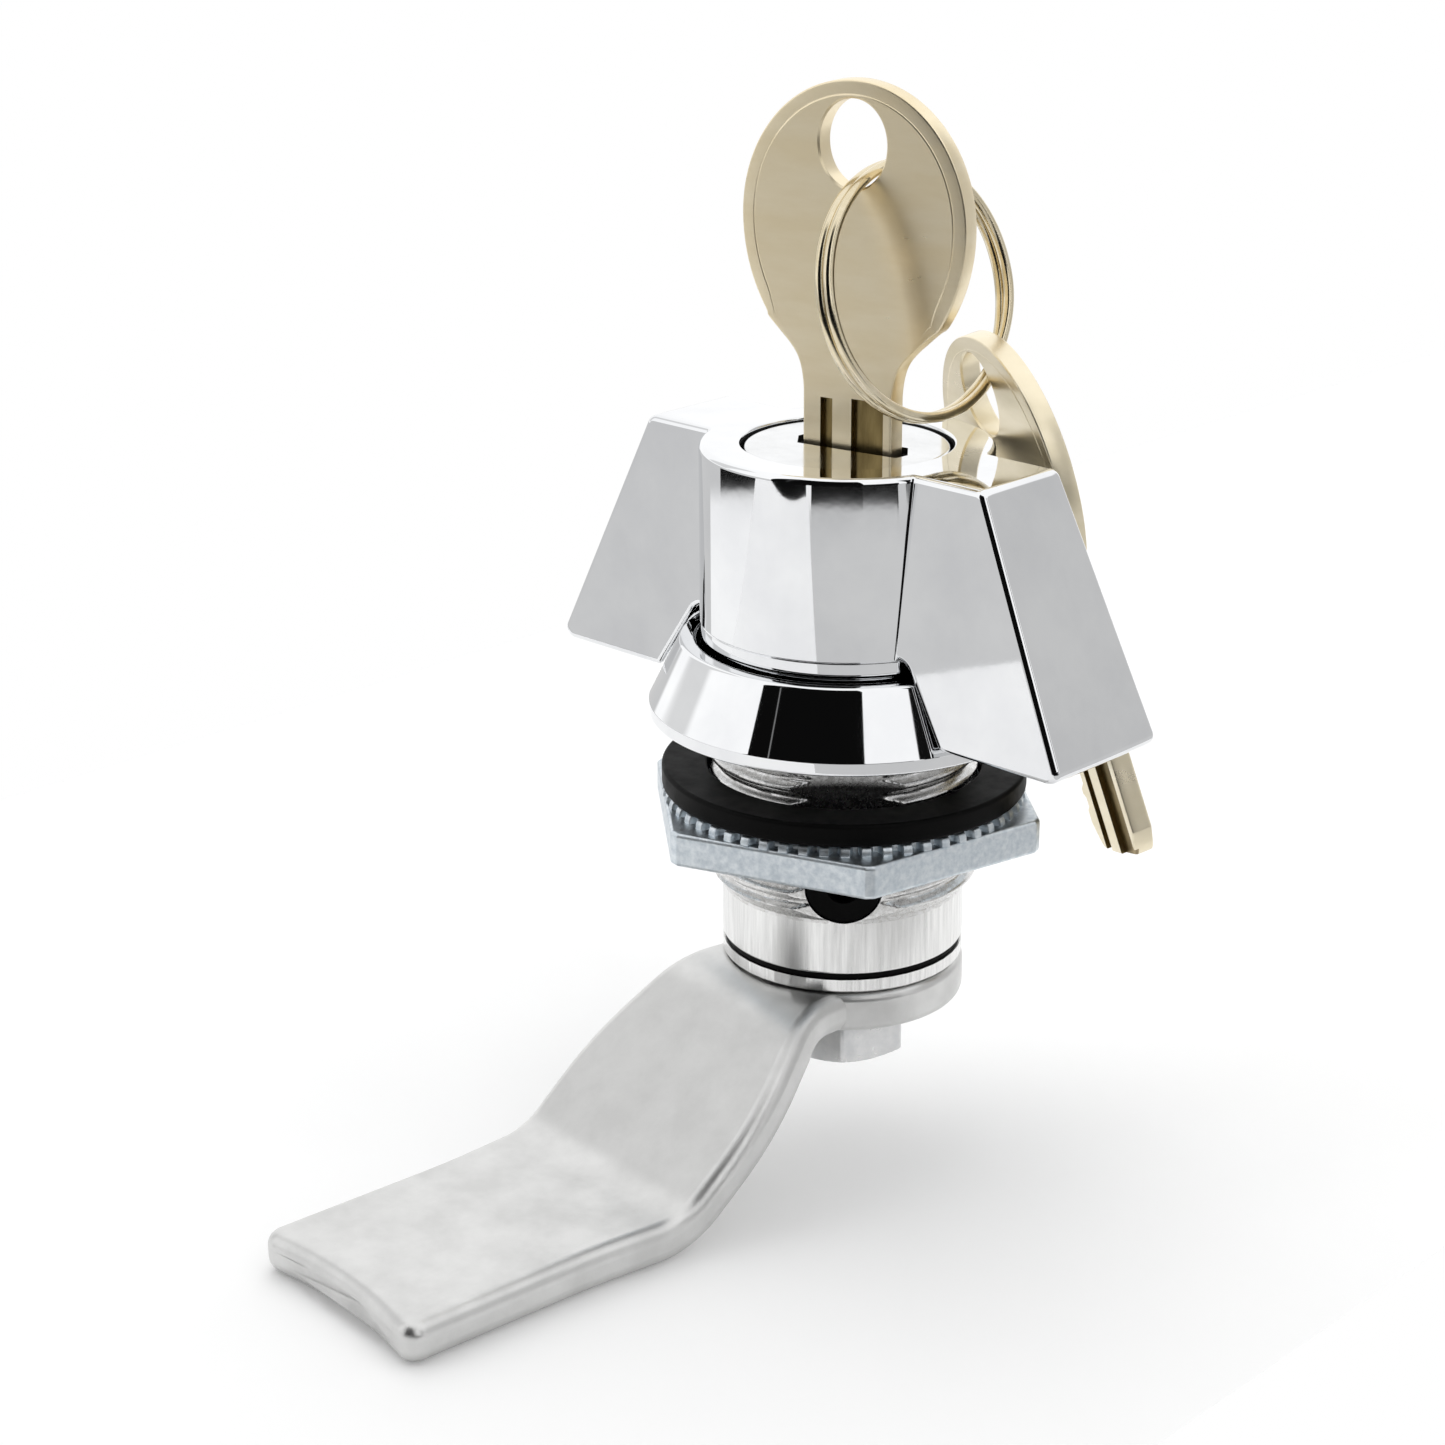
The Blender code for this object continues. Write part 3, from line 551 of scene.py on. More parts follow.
@dataclass
class Housing:
    """Flange, threaded shank with two flats and the plain lower cylinder."""

    shank_r: float = 11.0
    pitch: float = 1.5
    depth: float = 0.62
    thread_top: float = -1.0
    thread_low: float = -14.6
    flat_half: float = 10.0
    flat_az: float = -47.0
    lower_r: float = 10.0
    bore_r: float = 7.5
    recess_r: float = 12.05
    recess_z: float = 1.2
    lip_r: float = 13.38
    rim_z: float = 1.11
    hole_r: float = 3.15
    hole_az: float = -48.0
    hole_z: float = -11.7
    pocket_azimuths: Pair = (-90.0, 0.0)
    pocket_low: Triple = (11.0, -2.2, 2.9)
    pocket_high: Triple = (13.0, 2.2, 5.7)
    stop_in: float = 7.0
    stop_out: float = 8.95
    stop_top: float = -18.3
    stop_sweep: Pair = (129.6, 230.4)
    segs: int = 420

    def shank(self, z: np.ndarray, a: np.ndarray) -> np.ndarray:
        """Radius of the shank.

        A helix of the pitch cuts a rounded V groove; it fades in below the flange and is
        chamfered at its end, and two flats limit the radius to half their distance over the
        cosine of the angle from their normal.

        Args:
            z: Heights, shape (rows, 1).
            a: Angles, shape (columns,).

        Returns:
            Radii, shape (rows, columns).
        """
        phase = (z / self.pitch - a / TURN) % 1.0
        groove = ease(1.35 * (1.0 - np.abs(2.0 * phase - 1.0)) - 0.18)
        fade = np.clip((self.thread_top - z) / 0.8, 0.0, 1.0)
        r = self.shank_r - self.depth * groove * fade
        r = r - 0.12 * np.clip((z - self.thread_top) / 0.4, 0.0, 1.0)
        r = np.minimum(r, self.lower_r + np.clip((z - self.thread_low) * 0.9, 0.0, 2.0))
        facing = np.abs(np.cos(a - math.radians(self.flat_az)))
        return np.minimum(r, self.flat_half / np.maximum(facing, 0.5))

    def build(self) -> None:
        """Flange and bore profile turned about Z, joined to the threaded shank's radius function."""
        low, high = edge_of("housing")
        flange_r, lip_z, bottom = high[0], high[2], low[2]
        upper = rounded([(self.bore_r, bottom, 0.0), (self.bore_r, self.recess_z, 0.1),
                         (self.recess_r, self.recess_z, 0.15), (self.recess_r, lip_z, 0.3),
                         (self.lip_r, lip_z, 0.42), (flange_r, self.rim_z, 0.12),
                         (flange_r, 0.0, 0.28), (self.shank_r, 0.0, 0.0)], closed=False, steps=7)
        lower = rounded([(self.lower_r, self.thread_low - 0.4, 0.0), (self.lower_r, bottom, 0.22),
                         (self.bore_r + 0.02, bottom, 0.0)], closed=False)
        a = angles(self.segs)
        z = np.linspace(-0.02, self.thread_low - 0.3, 156)[:, None]
        r = self.shank(z, a)
        middle = np.stack([r * np.cos(a), r * np.sin(a), z + 0.0 * a], axis=-1)
        grid = np.concatenate([turned(upper, self.segs), middle, turned(lower, self.segs)])
        bands = np.concatenate([np.zeros(len(upper) - 1), np.ones(len(middle)),
                                np.full(len(lower) + 1, 2)])
        body = wear(skin("housing_shell", grid, bands=bands), CHROME, CAST, TURNED)
        cutters = [radial("hole", self.hole_r, self.hole_az, self.hole_z, 6.0, 12.0)]
        for az in self.pocket_azimuths:
            cutters.append(slab("pocket", self.pocket_low, self.pocket_high, az))
        t = np.radians(np.linspace(*self.stop_sweep, 41))
        arc = np.stack([np.cos(t), np.sin(t)], axis=1)
        path = np.concatenate([self.stop_out * arc, self.stop_in * arc[::-1]])
        cutters.append(prism("groove", path, bottom - 1.0, self.stop_top))
        combine(body, Bool.CUT, *cutters, slot=1)
        dress(body, "body", "chrome", "housing")


@dataclass
class PanelHardware:
    """Locking nut, sealing washer and indexing detent that sit round the shank."""

    across_flats: float = 29.8
    nut_turn: float = -41.4
    top: float = -7.03
    teeth: int = 56
    tooth_r: float = 14.95
    root_r: float = 14.1
    bore: float = 11.25
    washer_in: float = 11.3
    detent_az: float = -48.0
    detent_r: float = 8.55
    ball_r: float = 1.35
    detent_z: float = -11.7

    def nut(self) -> None:
        """Nut as rings of radius over the angle: hexagon below, toothed collar above.

        The collar's radius swings between root and tip once a tooth.
        """
        low, high = edge_of("mounting_nut")
        bottom, crown, top = low[2], high[2], self.top
        a = angles(1344)
        hexa = hexagon(a, self.across_flats, 0.22)
        wave = ease(0.72 + 0.95 * np.cos(self.teeth * a))
        tooth = self.root_r + (self.tooth_r - self.root_r) * wave
        rows = [(self.bore, bottom + 0.7), (self.bore + 0.6, bottom)]
        round_edge = ((0.33, 0.0), (0.30, 0.0), (0.15, 0.04), (0.04, 0.14), (0.0, 0.3), (0.0, 0.33))
        rows += [(hexa - back, bottom + up) for back, up in round_edge]
        rows += [(hexa - back, top - up) for back, up in round_edge[::-1]]
        rows += [(tooth + 0.03, top), (tooth, top + 0.03), (tooth - 0.02, crown - 0.42),
                 (tooth - 0.10, crown - 0.22), (tooth - 0.24, crown - 0.07), (tooth - 0.42, crown),
                 (self.bore + 0.5, crown), (self.bore, crown - 0.5)]
        nut = wear(skin("mounting_nut_shell", rings(a, rows)), ZINC)
        spin(nut, self.nut_turn)
        dress(nut, "body", "zinc", "mounting_nut")

    def washer(self) -> None:
        """Flat rubber washer with softly rounded edges."""
        low, high = edge_of("gasket")
        out = high[0]
        ring = [(self.washer_in, low[2], 0.2), (out, low[2], 0.3),
                (out, high[2], 0.3), (self.washer_in, high[2], 0.2)]
        dress(wear(lathe("gasket_shell", ring, 240), RUBBER), "body", "rubber", "gasket")

    def ball(self) -> None:
        """Detent ball: a half circle of the ball's radius turned about its own upright axis."""
        t = np.linspace(-QUARTER, QUARTER, 33)
        half = np.stack([self.ball_r * np.cos(t), self.ball_r * np.sin(t)], axis=1)
        half[[0, -1], 0] = 0.0
        ball = skin("detent_ball_shell", turned(half, 64), wrap_rows=False)
        a = math.radians(self.detent_az)
        spot = Vector((self.detent_r * math.cos(a), self.detent_r * math.sin(a), self.detent_z))
        ball.data.transform(Matrix.Translation(spot * MM))
        dress(wear(ball, BALL), "body", "steel", "detent_ball")

    def build(self) -> None:
        """Make the nut, the washer and the ball."""
        self.nut()
        self.washer()
        self.ball()


# ---------------------------------------------------------------- handle


@dataclass
class WingHandle:
    """Die-cast hub with two flaring wings that are cut back over the flange."""

    hub_r: float = 11.8
    neck_r: float = 11.45
    neck_top: float = 7.9
    skirt_r: float = 11.73
    skirt_z: float = 6.75
    hollow: float = 0.25
    neck_z: float = 1.65
    seal_r: float = 10.95
    boss_r: float = 7.3
    bore_r: float = 8.51
    floor_z: float = 5.75
    top_l: float = 17.6
    top_w: float = 4.67
    low_w: float = 6.29
    low_z: float = 1.73
    notch_top: Pair = (12.6, 7.83)
    notch_low: Pair = (16.3, 1.73)
    inner: float = 10.0
    edge: float = 0.5
    fill: float = 1.3
    bolt_az: float = -90.0
    channel_low: Triple = (-5.5, -3.7, 3.0)
    channel_wide: Pair = (5.2, 3.7)
    tunnel_low: Triple = (4.0, -2.1, 3.0)
    tunnel_high: Triple = (14.0, 2.1, 5.6)
    screw_r: float = 2.6
    screw_head_r: float = 4.1
    screw_seat: float = 1.4
    dowel_r: float = 1.08
    dowel_x: float = 5.2
    dowel_top: float = 1.1

    def hub(self, top: float, bottom: float) -> Piece:
        """Turned hub with its neck, seal groove, boss and the bore of the key cylinder."""
        line = rounded([
            (0.0, bottom, 0.0), (self.boss_r, bottom, 0.2), (self.boss_r, self.neck_z, 0.0),
            (self.neck_r, self.neck_z, 0.05), (self.neck_r, 1.76, 0.0), (self.seal_r, 1.76, 0.0),
            (self.seal_r, 2.8, 0.0), (self.neck_r, 2.8, 0.1), (self.neck_r, self.skirt_z - 0.2, 0.1),
            (self.skirt_r, self.skirt_z, 0.08), (self.skirt_r, self.neck_top - 0.2, 0.03),
            (self.skirt_r - 0.08, self.neck_top - 0.12, 0.03), (self.hub_r, self.neck_top, 0.05),
            (self.hub_r, top, self.edge), (self.bore_r, top, 0.22), (self.bore_r, self.floor_z, 0.0),
            (0.0, self.floor_z, 0.0)], closed=False, steps=7)
        bands = np.zeros(len(line), int)
        # Slot 1 on the bore's wall and floor is the near-black painted shade in the gap round the plug.
        bands[-3:] = 1
        return wear(skin("wing_handle_shell", turned(line, 256), wrap_rows=False, bands=bands),
                    CHROME, HOLLOW_SHADE)

    def wing(self, side: int, top: float, reach: float) -> Piece:
        """One wing as its side outline carried across the width.

        Near both faces the outline is inset by e(1 - sin t) while the depth under the face is
        e(1 - cos t), which rounds every edge by e.  The half width grows evenly from top to
        bottom.  Toward the hub the distance from the axis is kept instead of x, so that the
        cut-back over the flange is turned about the latch axis.

        Args:
            side: 1 for the +X wing, -1 for the other.
            top: Height of the top face.
            reach: Half length at the bottom.

        Returns:
            The closed wing.
        """
        corners = np.array([(self.inner, top), (self.inner, self.notch_top[1]), self.notch_top,
                            self.notch_low, (reach, self.low_z), (self.top_l, top)])
        radii = np.array([0.0, 0.0, -1.1, 0.6, 0.9, 0.9])
        t = np.linspace(0.0, QUARTER, 9)
        insets = np.concatenate([[self.edge + 0.03], self.edge * (1.0 - np.sin(t))])
        depths = np.concatenate([[0.0], self.edge * (1.0 - np.cos(t))])
        inner_rows = np.linspace(-1.0, 1.0, 15)[1:-1]
        rows = [(-1.0, i, d) for i, d in zip(insets, depths)]
        rows += [(u, 0.0, self.edge) for u in inner_rows]
        rows += [(1.0, i, d) for i, d in zip(insets[::-1], depths[::-1])]
        grid = []
        for u, gap, depth in rows:
            arcs = np.where(radii > 0.0, np.maximum(radii - gap, 0.03), gap - radii)
            arcs = np.where(radii == 0.0, 0.0, arcs)
            line = rounded(np.column_stack([inset(corners, gap), arcs]).tolist(), steps=8)
            rho, z = line[:, 0], line[:, 1]
            share = (z - self.low_z) / (top - self.low_z)
            y = u * (self.low_w + (self.top_w - self.low_w) * share - depth)
            length = reach + (self.top_l - reach) * share
            bend = np.clip((length - rho) / 6.0, 0.0, 1.0)
            x = rho - bend * (rho - np.sqrt(np.maximum(rho * rho - y * y, 0.0)))
            grid.append(np.stack([side * x, y, z], axis=-1))
        return skin("wing", np.stack(grid), wrap_rows=False, caps=True)

    def fillet(self, side: int, face: int, top: float) -> Piece:
        """Hollow fillet between hub and wing.

        An arc of radius f touches the hub of radius R and the wing face of half width w, so its
        centre is w + f from the wing's middle and R + f from the axis.  In the top rounding R
        and w shrink and f grows by the same amount, which keeps the centre and the contact.

        Args:
            side: 1 for the +X wing, -1 for the other.
            face: 1 for the +Y face, -1 for the other.
            top: Height of the top face.

        Returns:
            The closed sliver that fills the corner.
        """
        t = np.linspace(0.0, QUARTER, 9)
        z = np.concatenate([np.linspace(self.neck_top + 0.05, top - self.edge - 0.02, 12),
                            top - self.edge * (1.0 - np.sin(t[:-1]))])
        lost = np.concatenate([np.zeros(12), self.edge * (1.0 - np.cos(t[:-1]))])
        share = (z - self.low_z) / (top - self.low_z)
        wide = self.low_w + (self.top_w - self.low_w) * share
        across = wide + self.hollow
        along = np.sqrt((self.hub_r + self.hollow) ** 2 - across ** 2)
        first = np.arctan2(-across, -along)
        turn = first[:, None] + (-QUARTER - first)[:, None] * np.linspace(0.0, 1.0, 9)
        r = (self.hollow + lost)[:, None]
        x = along[:, None] + r * np.cos(turn)
        y = across[:, None] + r * np.sin(turn)
        x = np.column_stack([x, along, along - self.fill])
        y = np.column_stack([y, wide - self.fill, wide - self.fill])
        grid = np.stack([side * x, face * y, np.broadcast_to(z[:, None], x.shape)], axis=-1)
        return skin("fillet", grid, wrap_rows=False, caps=True)

    def build(self) -> None:
        """Hub and wings in one, with the bolt channel, screw pocket and dowel holes cut out."""
        low, high = edge_of("wing_handle")
        top, bottom, reach = high[2], low[2], high[0]
        body = self.hub(top, bottom)
        combine(body, Bool.ADD, self.wing(1, top, reach), self.wing(-1, top, reach))
        fillets = [self.fillet(side, face, top) for side in (1, -1) for face in (1, -1)]
        combine(body, Bool.ADD, *fillets)
        roof = self.channel_low[2] + 1.0
        stair = [(0.0, bottom - 1.0, 0.0), (self.screw_r, bottom - 1.0, 0.0),
                 (self.screw_r, self.screw_seat, 0.0), (self.screw_head_r, self.screw_seat, 0.0),
                 (self.screw_head_r, roof, 0.0), (0.0, roof, 0.0)]
        channel_high = (*self.channel_wide, self.floor_z + 0.5)
        cutters = [slab("channel", self.channel_low, channel_high, self.bolt_az),
                   slab("tunnel", self.tunnel_low, self.tunnel_high, self.bolt_az),
                   lathe("pocket", stair, 64, closed=False)]
        for x in (self.dowel_x, -self.dowel_x):
            cutters.append(prism("dowel_hole", circle(self.dowel_r, 32, (x, 0.0)), bottom - 1.0,
                                 self.dowel_top))
        # The cut walls take slot 1, the near-black painted shade of the hollows.
        combine(body, Bool.CUT, *cutters, slot=1)
        dress(body, "handle", "chrome", "wing_handle")


@dataclass
class CamAssembly:
    """Cranked cam arm and the hexagon screw that holds it."""

    azimuth: float = -95.5
    thickness: float = 3.4
    drop: float = 12.1
    bend_a: float = 11.3
    bend_b: float = 26.3
    radius_a: float = 7.5
    radius_b: float = 6.0
    tip: float = 52.4
    bow: float = 1.2
    corner: float = 2.0
    edge: float = 1.25
    square: float = 8.0
    stations: tuple[float, ...] = (4.0, 10.2, 18.8, 26.3, 34.3, 52.4)
    widths: tuple[float, ...] = (7.6, 7.75, 10.95, 10.8, 10.1, 10.05)
    screw_flats: float = 10.0
    screw_turn: float = 12.0
    screw_seat: float = -25.85
    shank_r: float = 2.95
    hollow_from: float = 44.0

    def centre_line(self, top: float) -> np.ndarray:
        """Top line of the arm: two level runs joined by a slope through two arcs.

        Args:
            top: Height of the head's upper face.

        Returns:
            Rows of distance, height and tilt.
        """
        a = math.atan2(self.drop, self.bend_b - self.bend_a)
        back_a = self.radius_a * math.tan(a / 2.0)
        back_b = self.radius_b * math.tan(a / 2.0)
        t = np.linspace(0.0, a, 13)
        first = np.stack([self.bend_a - back_a + self.radius_a * np.sin(t),
                          top - self.radius_a * (1.0 - np.cos(t)), t], axis=1)
        s = t[::-1]
        second = np.stack([self.bend_b + back_b - self.radius_b * np.sin(s),
                           top - self.drop + self.radius_b * (1.0 - np.cos(s)), s], axis=1)
        x = np.linspace(0.0, self.bend_a - back_a - 0.05, 10)
        level = np.stack([x, np.full_like(x, top), 0.0 * x], axis=1)
        mid = np.linspace(0.02, 0.98, 9)[:, None]
        slope = first[-1] * (1.0 - mid) + second[0] * mid
        run = np.linspace(self.bend_b + back_b + 0.05, self.tip - self.corner, 26)
        end = self.tip - self.corner * (1.0 - np.sin(np.linspace(0.05, QUARTER, 15)))
        far = np.concatenate([run, end])
        out = np.stack([far, np.full_like(far, top - self.drop), 0.0 * far], axis=1)
        return np.concatenate([level, first, slope, second, out])

    def arm(self, top: float) -> Piece:
        """Arm as a rounded rectangle carried along the top line.

        The half width is the running mean of its stations over 6 mm and shrinks on a quarter
        circle at the tip, the thickness shrinks on a smaller quarter circle, and the tip is
        hollowed by a parabola across its width.

        Args:
            top: Height of the head's upper face.

        Returns:
            The closed arm, along +X.
        """
        line = self.centre_line(top)
        near = line[:, :1] + np.linspace(-3.0, 3.0, 13)
        widths = np.interp(near, self.stations, self.widths).mean(axis=1)
        grid = []
        for (x, z, tilt), full in zip(line, widths):
            past = min(max((x - self.tip + self.corner) / self.corner, 0.0), 1.0)
            half = full - self.corner * (1.0 - math.sqrt(1.0 - past * past))
            over = min(max((x - self.tip + self.edge) / self.edge, 0.0), 1.0)
            thin = self.edge * (1.0 - math.sqrt(1.0 - over * over))
            tall = self.thickness / 2.0 - thin
            r = max(min(self.edge - thin, tall * 0.95), 0.02)
            ring = rounded([(-half, -tall, r), (half, -tall, r), (half, tall, r), (-half, tall, r)],
                           steps=7)
            spread = np.linspace(-1.0, 1.0, 13)[1:-1] * (half - r - 0.05)
            cut = len(ring) // 4
            side = np.full_like(spread, -tall)
            ring = np.concatenate([ring[:cut], np.stack([spread, side], axis=1), ring[cut:3 * cut],
                                   np.stack([spread[::-1], -side], axis=1), ring[3 * cut:]])
            y, w = ring[:, 0], ring[:, 1] - self.thickness / 2.0
            hollow = max(x - self.hollow_from, 0.0) / (self.tip - self.hollow_from)
            shift = -self.bow * (1.0 - (y / full) ** 2) * hollow
            grid.append(np.stack([x + shift + w * math.sin(tilt), y, z + w * math.cos(tilt)], axis=-1))
        return skin("cam_shell", np.stack(grid), wrap_rows=False, caps=True)

    def build(self) -> None:
        """Arm, round head and square hole in one piece, and the screw."""
        high = edge_of("cam")[1]
        top, head_r = high[2], high[1]
        under = top - self.thickness
        arm = wear(self.arm(top), TUMBLED)
        line = [(0.0, under, 0.0), (head_r, under, 0.7), (head_r, top, 0.7), (0.0, top, 0.0)]
        head = lathe("head", line, 160, closed=False, steps=6)
        combine(arm, Bool.ADD, head)
        s = self.square / 2.0 + 0.06
        combine(arm, Bool.CUT, slab("square", (-s, -s, under - 1.0), (s, s, top + 1.0)))
        spin(arm, self.azimuth)
        dress(arm, "handle", "steel", "cam")
        self.screw()

    def screw(self) -> None:
        """Hexagon screw: the radius is the smaller of the hexagon's and a domed cone's."""
        low, high = edge_of("cam_screw")
        bottom, seat, tip = low[2], self.screw_seat, high[2]
        a = angles(288)
        hexa = hexagon(a, self.screw_flats, 0.06)
        rows = [(0.0, bottom), (4.3, bottom)]
        for up in np.linspace(0.0, 0.75, 7):
            rows.append((np.minimum(hexa, 4.45 + 1.9 * up), bottom + up * 0.8 + 0.04))
        rows += [(hexa, bottom + 0.8), (hexa, seat - 0.2), (hexa - 0.06, seat - 0.05),
                 (hexa - 0.2, seat), (self.shank_r + 0.2, seat), (self.shank_r, seat + 0.2),
                 (self.shank_r, tip - 0.5), (2.5, tip), (0.0, tip)]
        screw = wear(skin("cam_screw_shell", rings(a, rows), wrap_rows=False), STEEL)
        spin(screw, self.screw_turn)
        dress(screw, "handle", "steel", "cam_screw")


# ---------------------------------------------------------------- lock, keys and ring


@dataclass
class LockPlug:
    """Turning plug of the key cylinder with its face disc."""

    head_r: float = 8.25
    plug_r: float = 6.0
    shoulder: float = 20.45
    azimuth: float = 10.4
    offset: float = 0.5
    way_l: float = 8.6
    way_w: float = 2.2
    way_floor: float = 6.3
    mouth_l: float = 10.5
    mouth_z: float = 21.7
    mouth_lip: float = 0.5
    above: float = 24.0
    barrel_low: float = 5.9
    chamber: Pair = (7.0, 2.6)
    chamber_gap: float = 0.08
    crank_e: float = 1.6
    crank_r: float = 1.0
    crank_az: float = 150.0
    wafer_nodes: tuple[str, ...] = ("wafer_1", "wafer_2", "wafer_3", "wafer_4", "wafer_5")

    def build(self) -> None:
        """Face disc and barrel turned, then keyway, pointed mouth and wafer chambers cut out."""
        low, high = edge_of("plug")
        top, bottom = high[2], self.barrel_low
        line = [(0.0, bottom, 0.0), (self.plug_r, bottom, 0.1), (self.plug_r, self.shoulder, 0.0),
                (self.head_r, self.shoulder, 0.1), (self.head_r, top, 0.28), (0.0, top, 0.0)]
        plug = wear(lathe("plug_shell", line, 224, closed=False, steps=6), SATIN_CHROME, HOLLOW_SHADE)
        half, wide = self.way_l / 2.0, self.way_w / 2.0
        cutters = [slab("keyway", (self.offset - half, -wide, self.way_floor),
                        (self.offset + half, wide, self.above), self.azimuth)]
        tip, lip = self.mouth_l / 2.0, wide + self.mouth_lip
        side = np.array([(-tip, 0.35), (-tip + 1.1, -lip), (tip - 0.35, -lip)])
        mouth = np.concatenate([side, -side]) + (self.offset, 0.0)
        cutters.append(prism("mouth", mouth, self.mouth_z, self.above))
        spin(cutters[-1], self.azimuth)
        reach, deep = self.chamber
        for node in self.wafer_nodes:
            w_low, w_high = edge_of(node)
            cutters.append(slab("chamber", (-reach, -deep, w_low[2] - self.chamber_gap),
                                (reach, deep, w_high[2] + self.chamber_gap), self.azimuth))
        # Keyway, mouth and chambers take slot 1, the near-black painted shade.
        combine(plug, Bool.CUT, *cutters, slot=1)
        a = math.radians(self.crank_az)
        spot = (self.crank_e * math.cos(a), self.crank_e * math.sin(a))
        combine(plug, Bool.ADD, prism("crank", circle(self.crank_r, 48, spot), low[2],
                                      bottom + 0.3))
        dress(plug, "lock_plug", "chrome", "plug")


@dataclass
class Key:
    """Flat key: egg-shaped bow with a coined rim, straight blade, wards and cuts.

    A ward is given by its two sides, its upper end and the two heights across the thickness, a
    cut by its place along the blade and its depth.
    """

    thickness: float = 1.8
    bow_r: float = 10.05
    bow_up: float = 10.9
    bow_low: float = 12.1
    bow_y: float = 40.0
    half: float = 4.05
    tip: float = 6.5
    hole_x: float = 0.25
    hole_y: float = 46.05
    hole_rx: float = 3.0
    hole_ry: float = 3.45
    neck: tuple[Pair, ...] = ((4.05, 26.8), (4.25, 28.1), (4.6, 29.1), (5.3, 30.0),
                                             (6.4, 31.0), (7.5, 32.0))
    rim: float = 1.05
    rim_drop: float = 0.045
    groove: float = 0.03
    edge: float = 0.14
    wards: tuple[tuple[float, ...], ...] = ((-2.45, -1.35, 26.0, 0.45, 3.0), (0.4, 3.3, 26.2, 0.45, 3.0),
                                            (-0.6, 0.9, 26.0, -3.0, -0.4))
    cuts: tuple[Pair, ...] = ((19.0, 0.5), (16.9, 0.9), (14.8, 0.35), (12.7, 0.7),
                               (10.6, 0.5))

    def outline(self) -> np.ndarray:
        """Outline from the blade's tip round the bow, anticlockwise.

        The bow is an upper and a taller lower half ellipse about one middle, the neck runs
        through its stations and the blade is straight with a bevelled tip.  Each corner of
        this line is then cut at a quarter and three quarters of its edges, twice over, which
        makes it smooth.
        """
        t = np.radians(np.arange(-40.0, 90.1, 5.0))
        tall = np.where(t < 0.0, self.bow_low, self.bow_up)
        halves = []
        for side in (1.0, -1.0):
            bow = np.stack([self.hole_x + side * self.bow_r * np.cos(t),
                            self.bow_y + tall * np.sin(t)], axis=1)
            low = np.array([(self.half - 1.6, self.tip), (self.half - 0.9, self.tip + 0.3),
                            (self.half, self.tip + 2.2), (self.half, self.tip + 2.4), (self.half, 15.0),
                            (self.half, 25.5), *self.neck]) * (side, 1.0)
            halves.append(np.concatenate([low, bow]))
        line = np.concatenate([halves[0], halves[1][:-1][::-1]])
        for _ in range(2):
            fore = np.roll(line, -1, axis=0)
            both = [0.75 * line + 0.25 * fore, 0.25 * line + 0.75 * fore]
            line = np.stack(both, axis=1).reshape(-1, 2)
        return line

    def blank(self, name: str) -> Piece:
        """Blank through stacked copies of the outline.

        On the bow each face slopes down by the rim's drop over the rim's width before the edge
        is rounded; on the blade only the edge is rounded.  A smooth step in y blends the two.
        """
        line = self.outline()
        share = ease((line[:, 1] - 30.0) / 4.0)
        face = self.thickness / 2.0
        levels = [(self.rim + 0.16, self.edge + 0.08, 0.0, 0.0),
                  (self.rim + 0.12, self.edge + 0.06, 0.0, 0.0),
                  (self.rim + 0.06, self.edge + 0.04, self.groove, 0.0),
                  (self.rim, self.edge + 0.02, 0.01, 0.0), (self.rim - 0.04, self.edge, 0.01, 0.0),
                  (self.edge + 0.02, self.edge * 0.8, self.rim_drop, 0.006)]
        for t in np.radians((15.0, 40.0, 65.0, 90.0)):
            back, down = self.edge * (1.0 - math.sin(t)), self.edge * (1.0 - math.cos(t))
            levels.append((back, back * 0.7, self.rim_drop + down, down))
        rows = []
        for bow_in, blade_in, bow_drop, blade_drop in levels:
            gap = bow_in * share + blade_in * (1.0 - share)
            drop = bow_drop * share + blade_drop * (1.0 - share)
            rows.append(np.column_stack([inset(line, gap), face - drop]))
        under = [row * (1.0, 1.0, -1.0) for row in rows]
        return skin(name, np.stack(rows + under[::-1]), wrap_rows=False, caps=True)

    def hole(self) -> Piece:
        """Cutter of the hole: an ellipse that flares toward both faces."""
        a = angles(96)
        rows = []
        for z, more in ((-1.3, 0.55), (-0.75, 0.0), (0.75, 0.0), (1.3, 0.55)):
            rows.append(np.stack([self.hole_x + (self.hole_rx + more) * np.cos(a),
                                  self.hole_y + (self.hole_ry + more) * np.sin(a), 0.0 * a + z], axis=-1))
        return skin("hole", np.stack(rows), wrap_rows=False, caps=True)

    def build(self, name: str, place: Matrix, body: str, finish: Finish, node: str) -> None:
        """Cut the hole, wards and bitting, put the key in place and dress it.

        Args:
            name: Piece name.
            place: Matrix from the key's own frame, in millimetres.
            body: CAD body.
            finish: Metal of the key.
            node: CAD node that it replaces.
        """
        key = wear(self.blank(name), finish, MILLED_SHADED)
        combine(key, Bool.CUT, self.hole())
        cutters = [slab("ward", (x0, 0.0, z0), (x1, end, z1)) for x0, x1, end, z0, z1 in self.wards]
        for y, deep in self.cuts:
            floor = -self.half + deep
            bit = [(-5.0, y - 1.0 - deep), (floor, y - 0.4), (floor, y + 0.4), (-5.0, y + 1.0 + deep)]
            cutters.append(prism("bit", bit, -3.0, 3.0))
        # The wards and cuts take slot 1, the milled finish whose darker brown is painted shade.
        combine(key, Bool.CUT, *cutters, slot=1)
        scaled = place.copy()
        scaled.translation = place.translation * MM
        key.data.transform(scaled)
        dress(key, body, "nickel_silver", node)


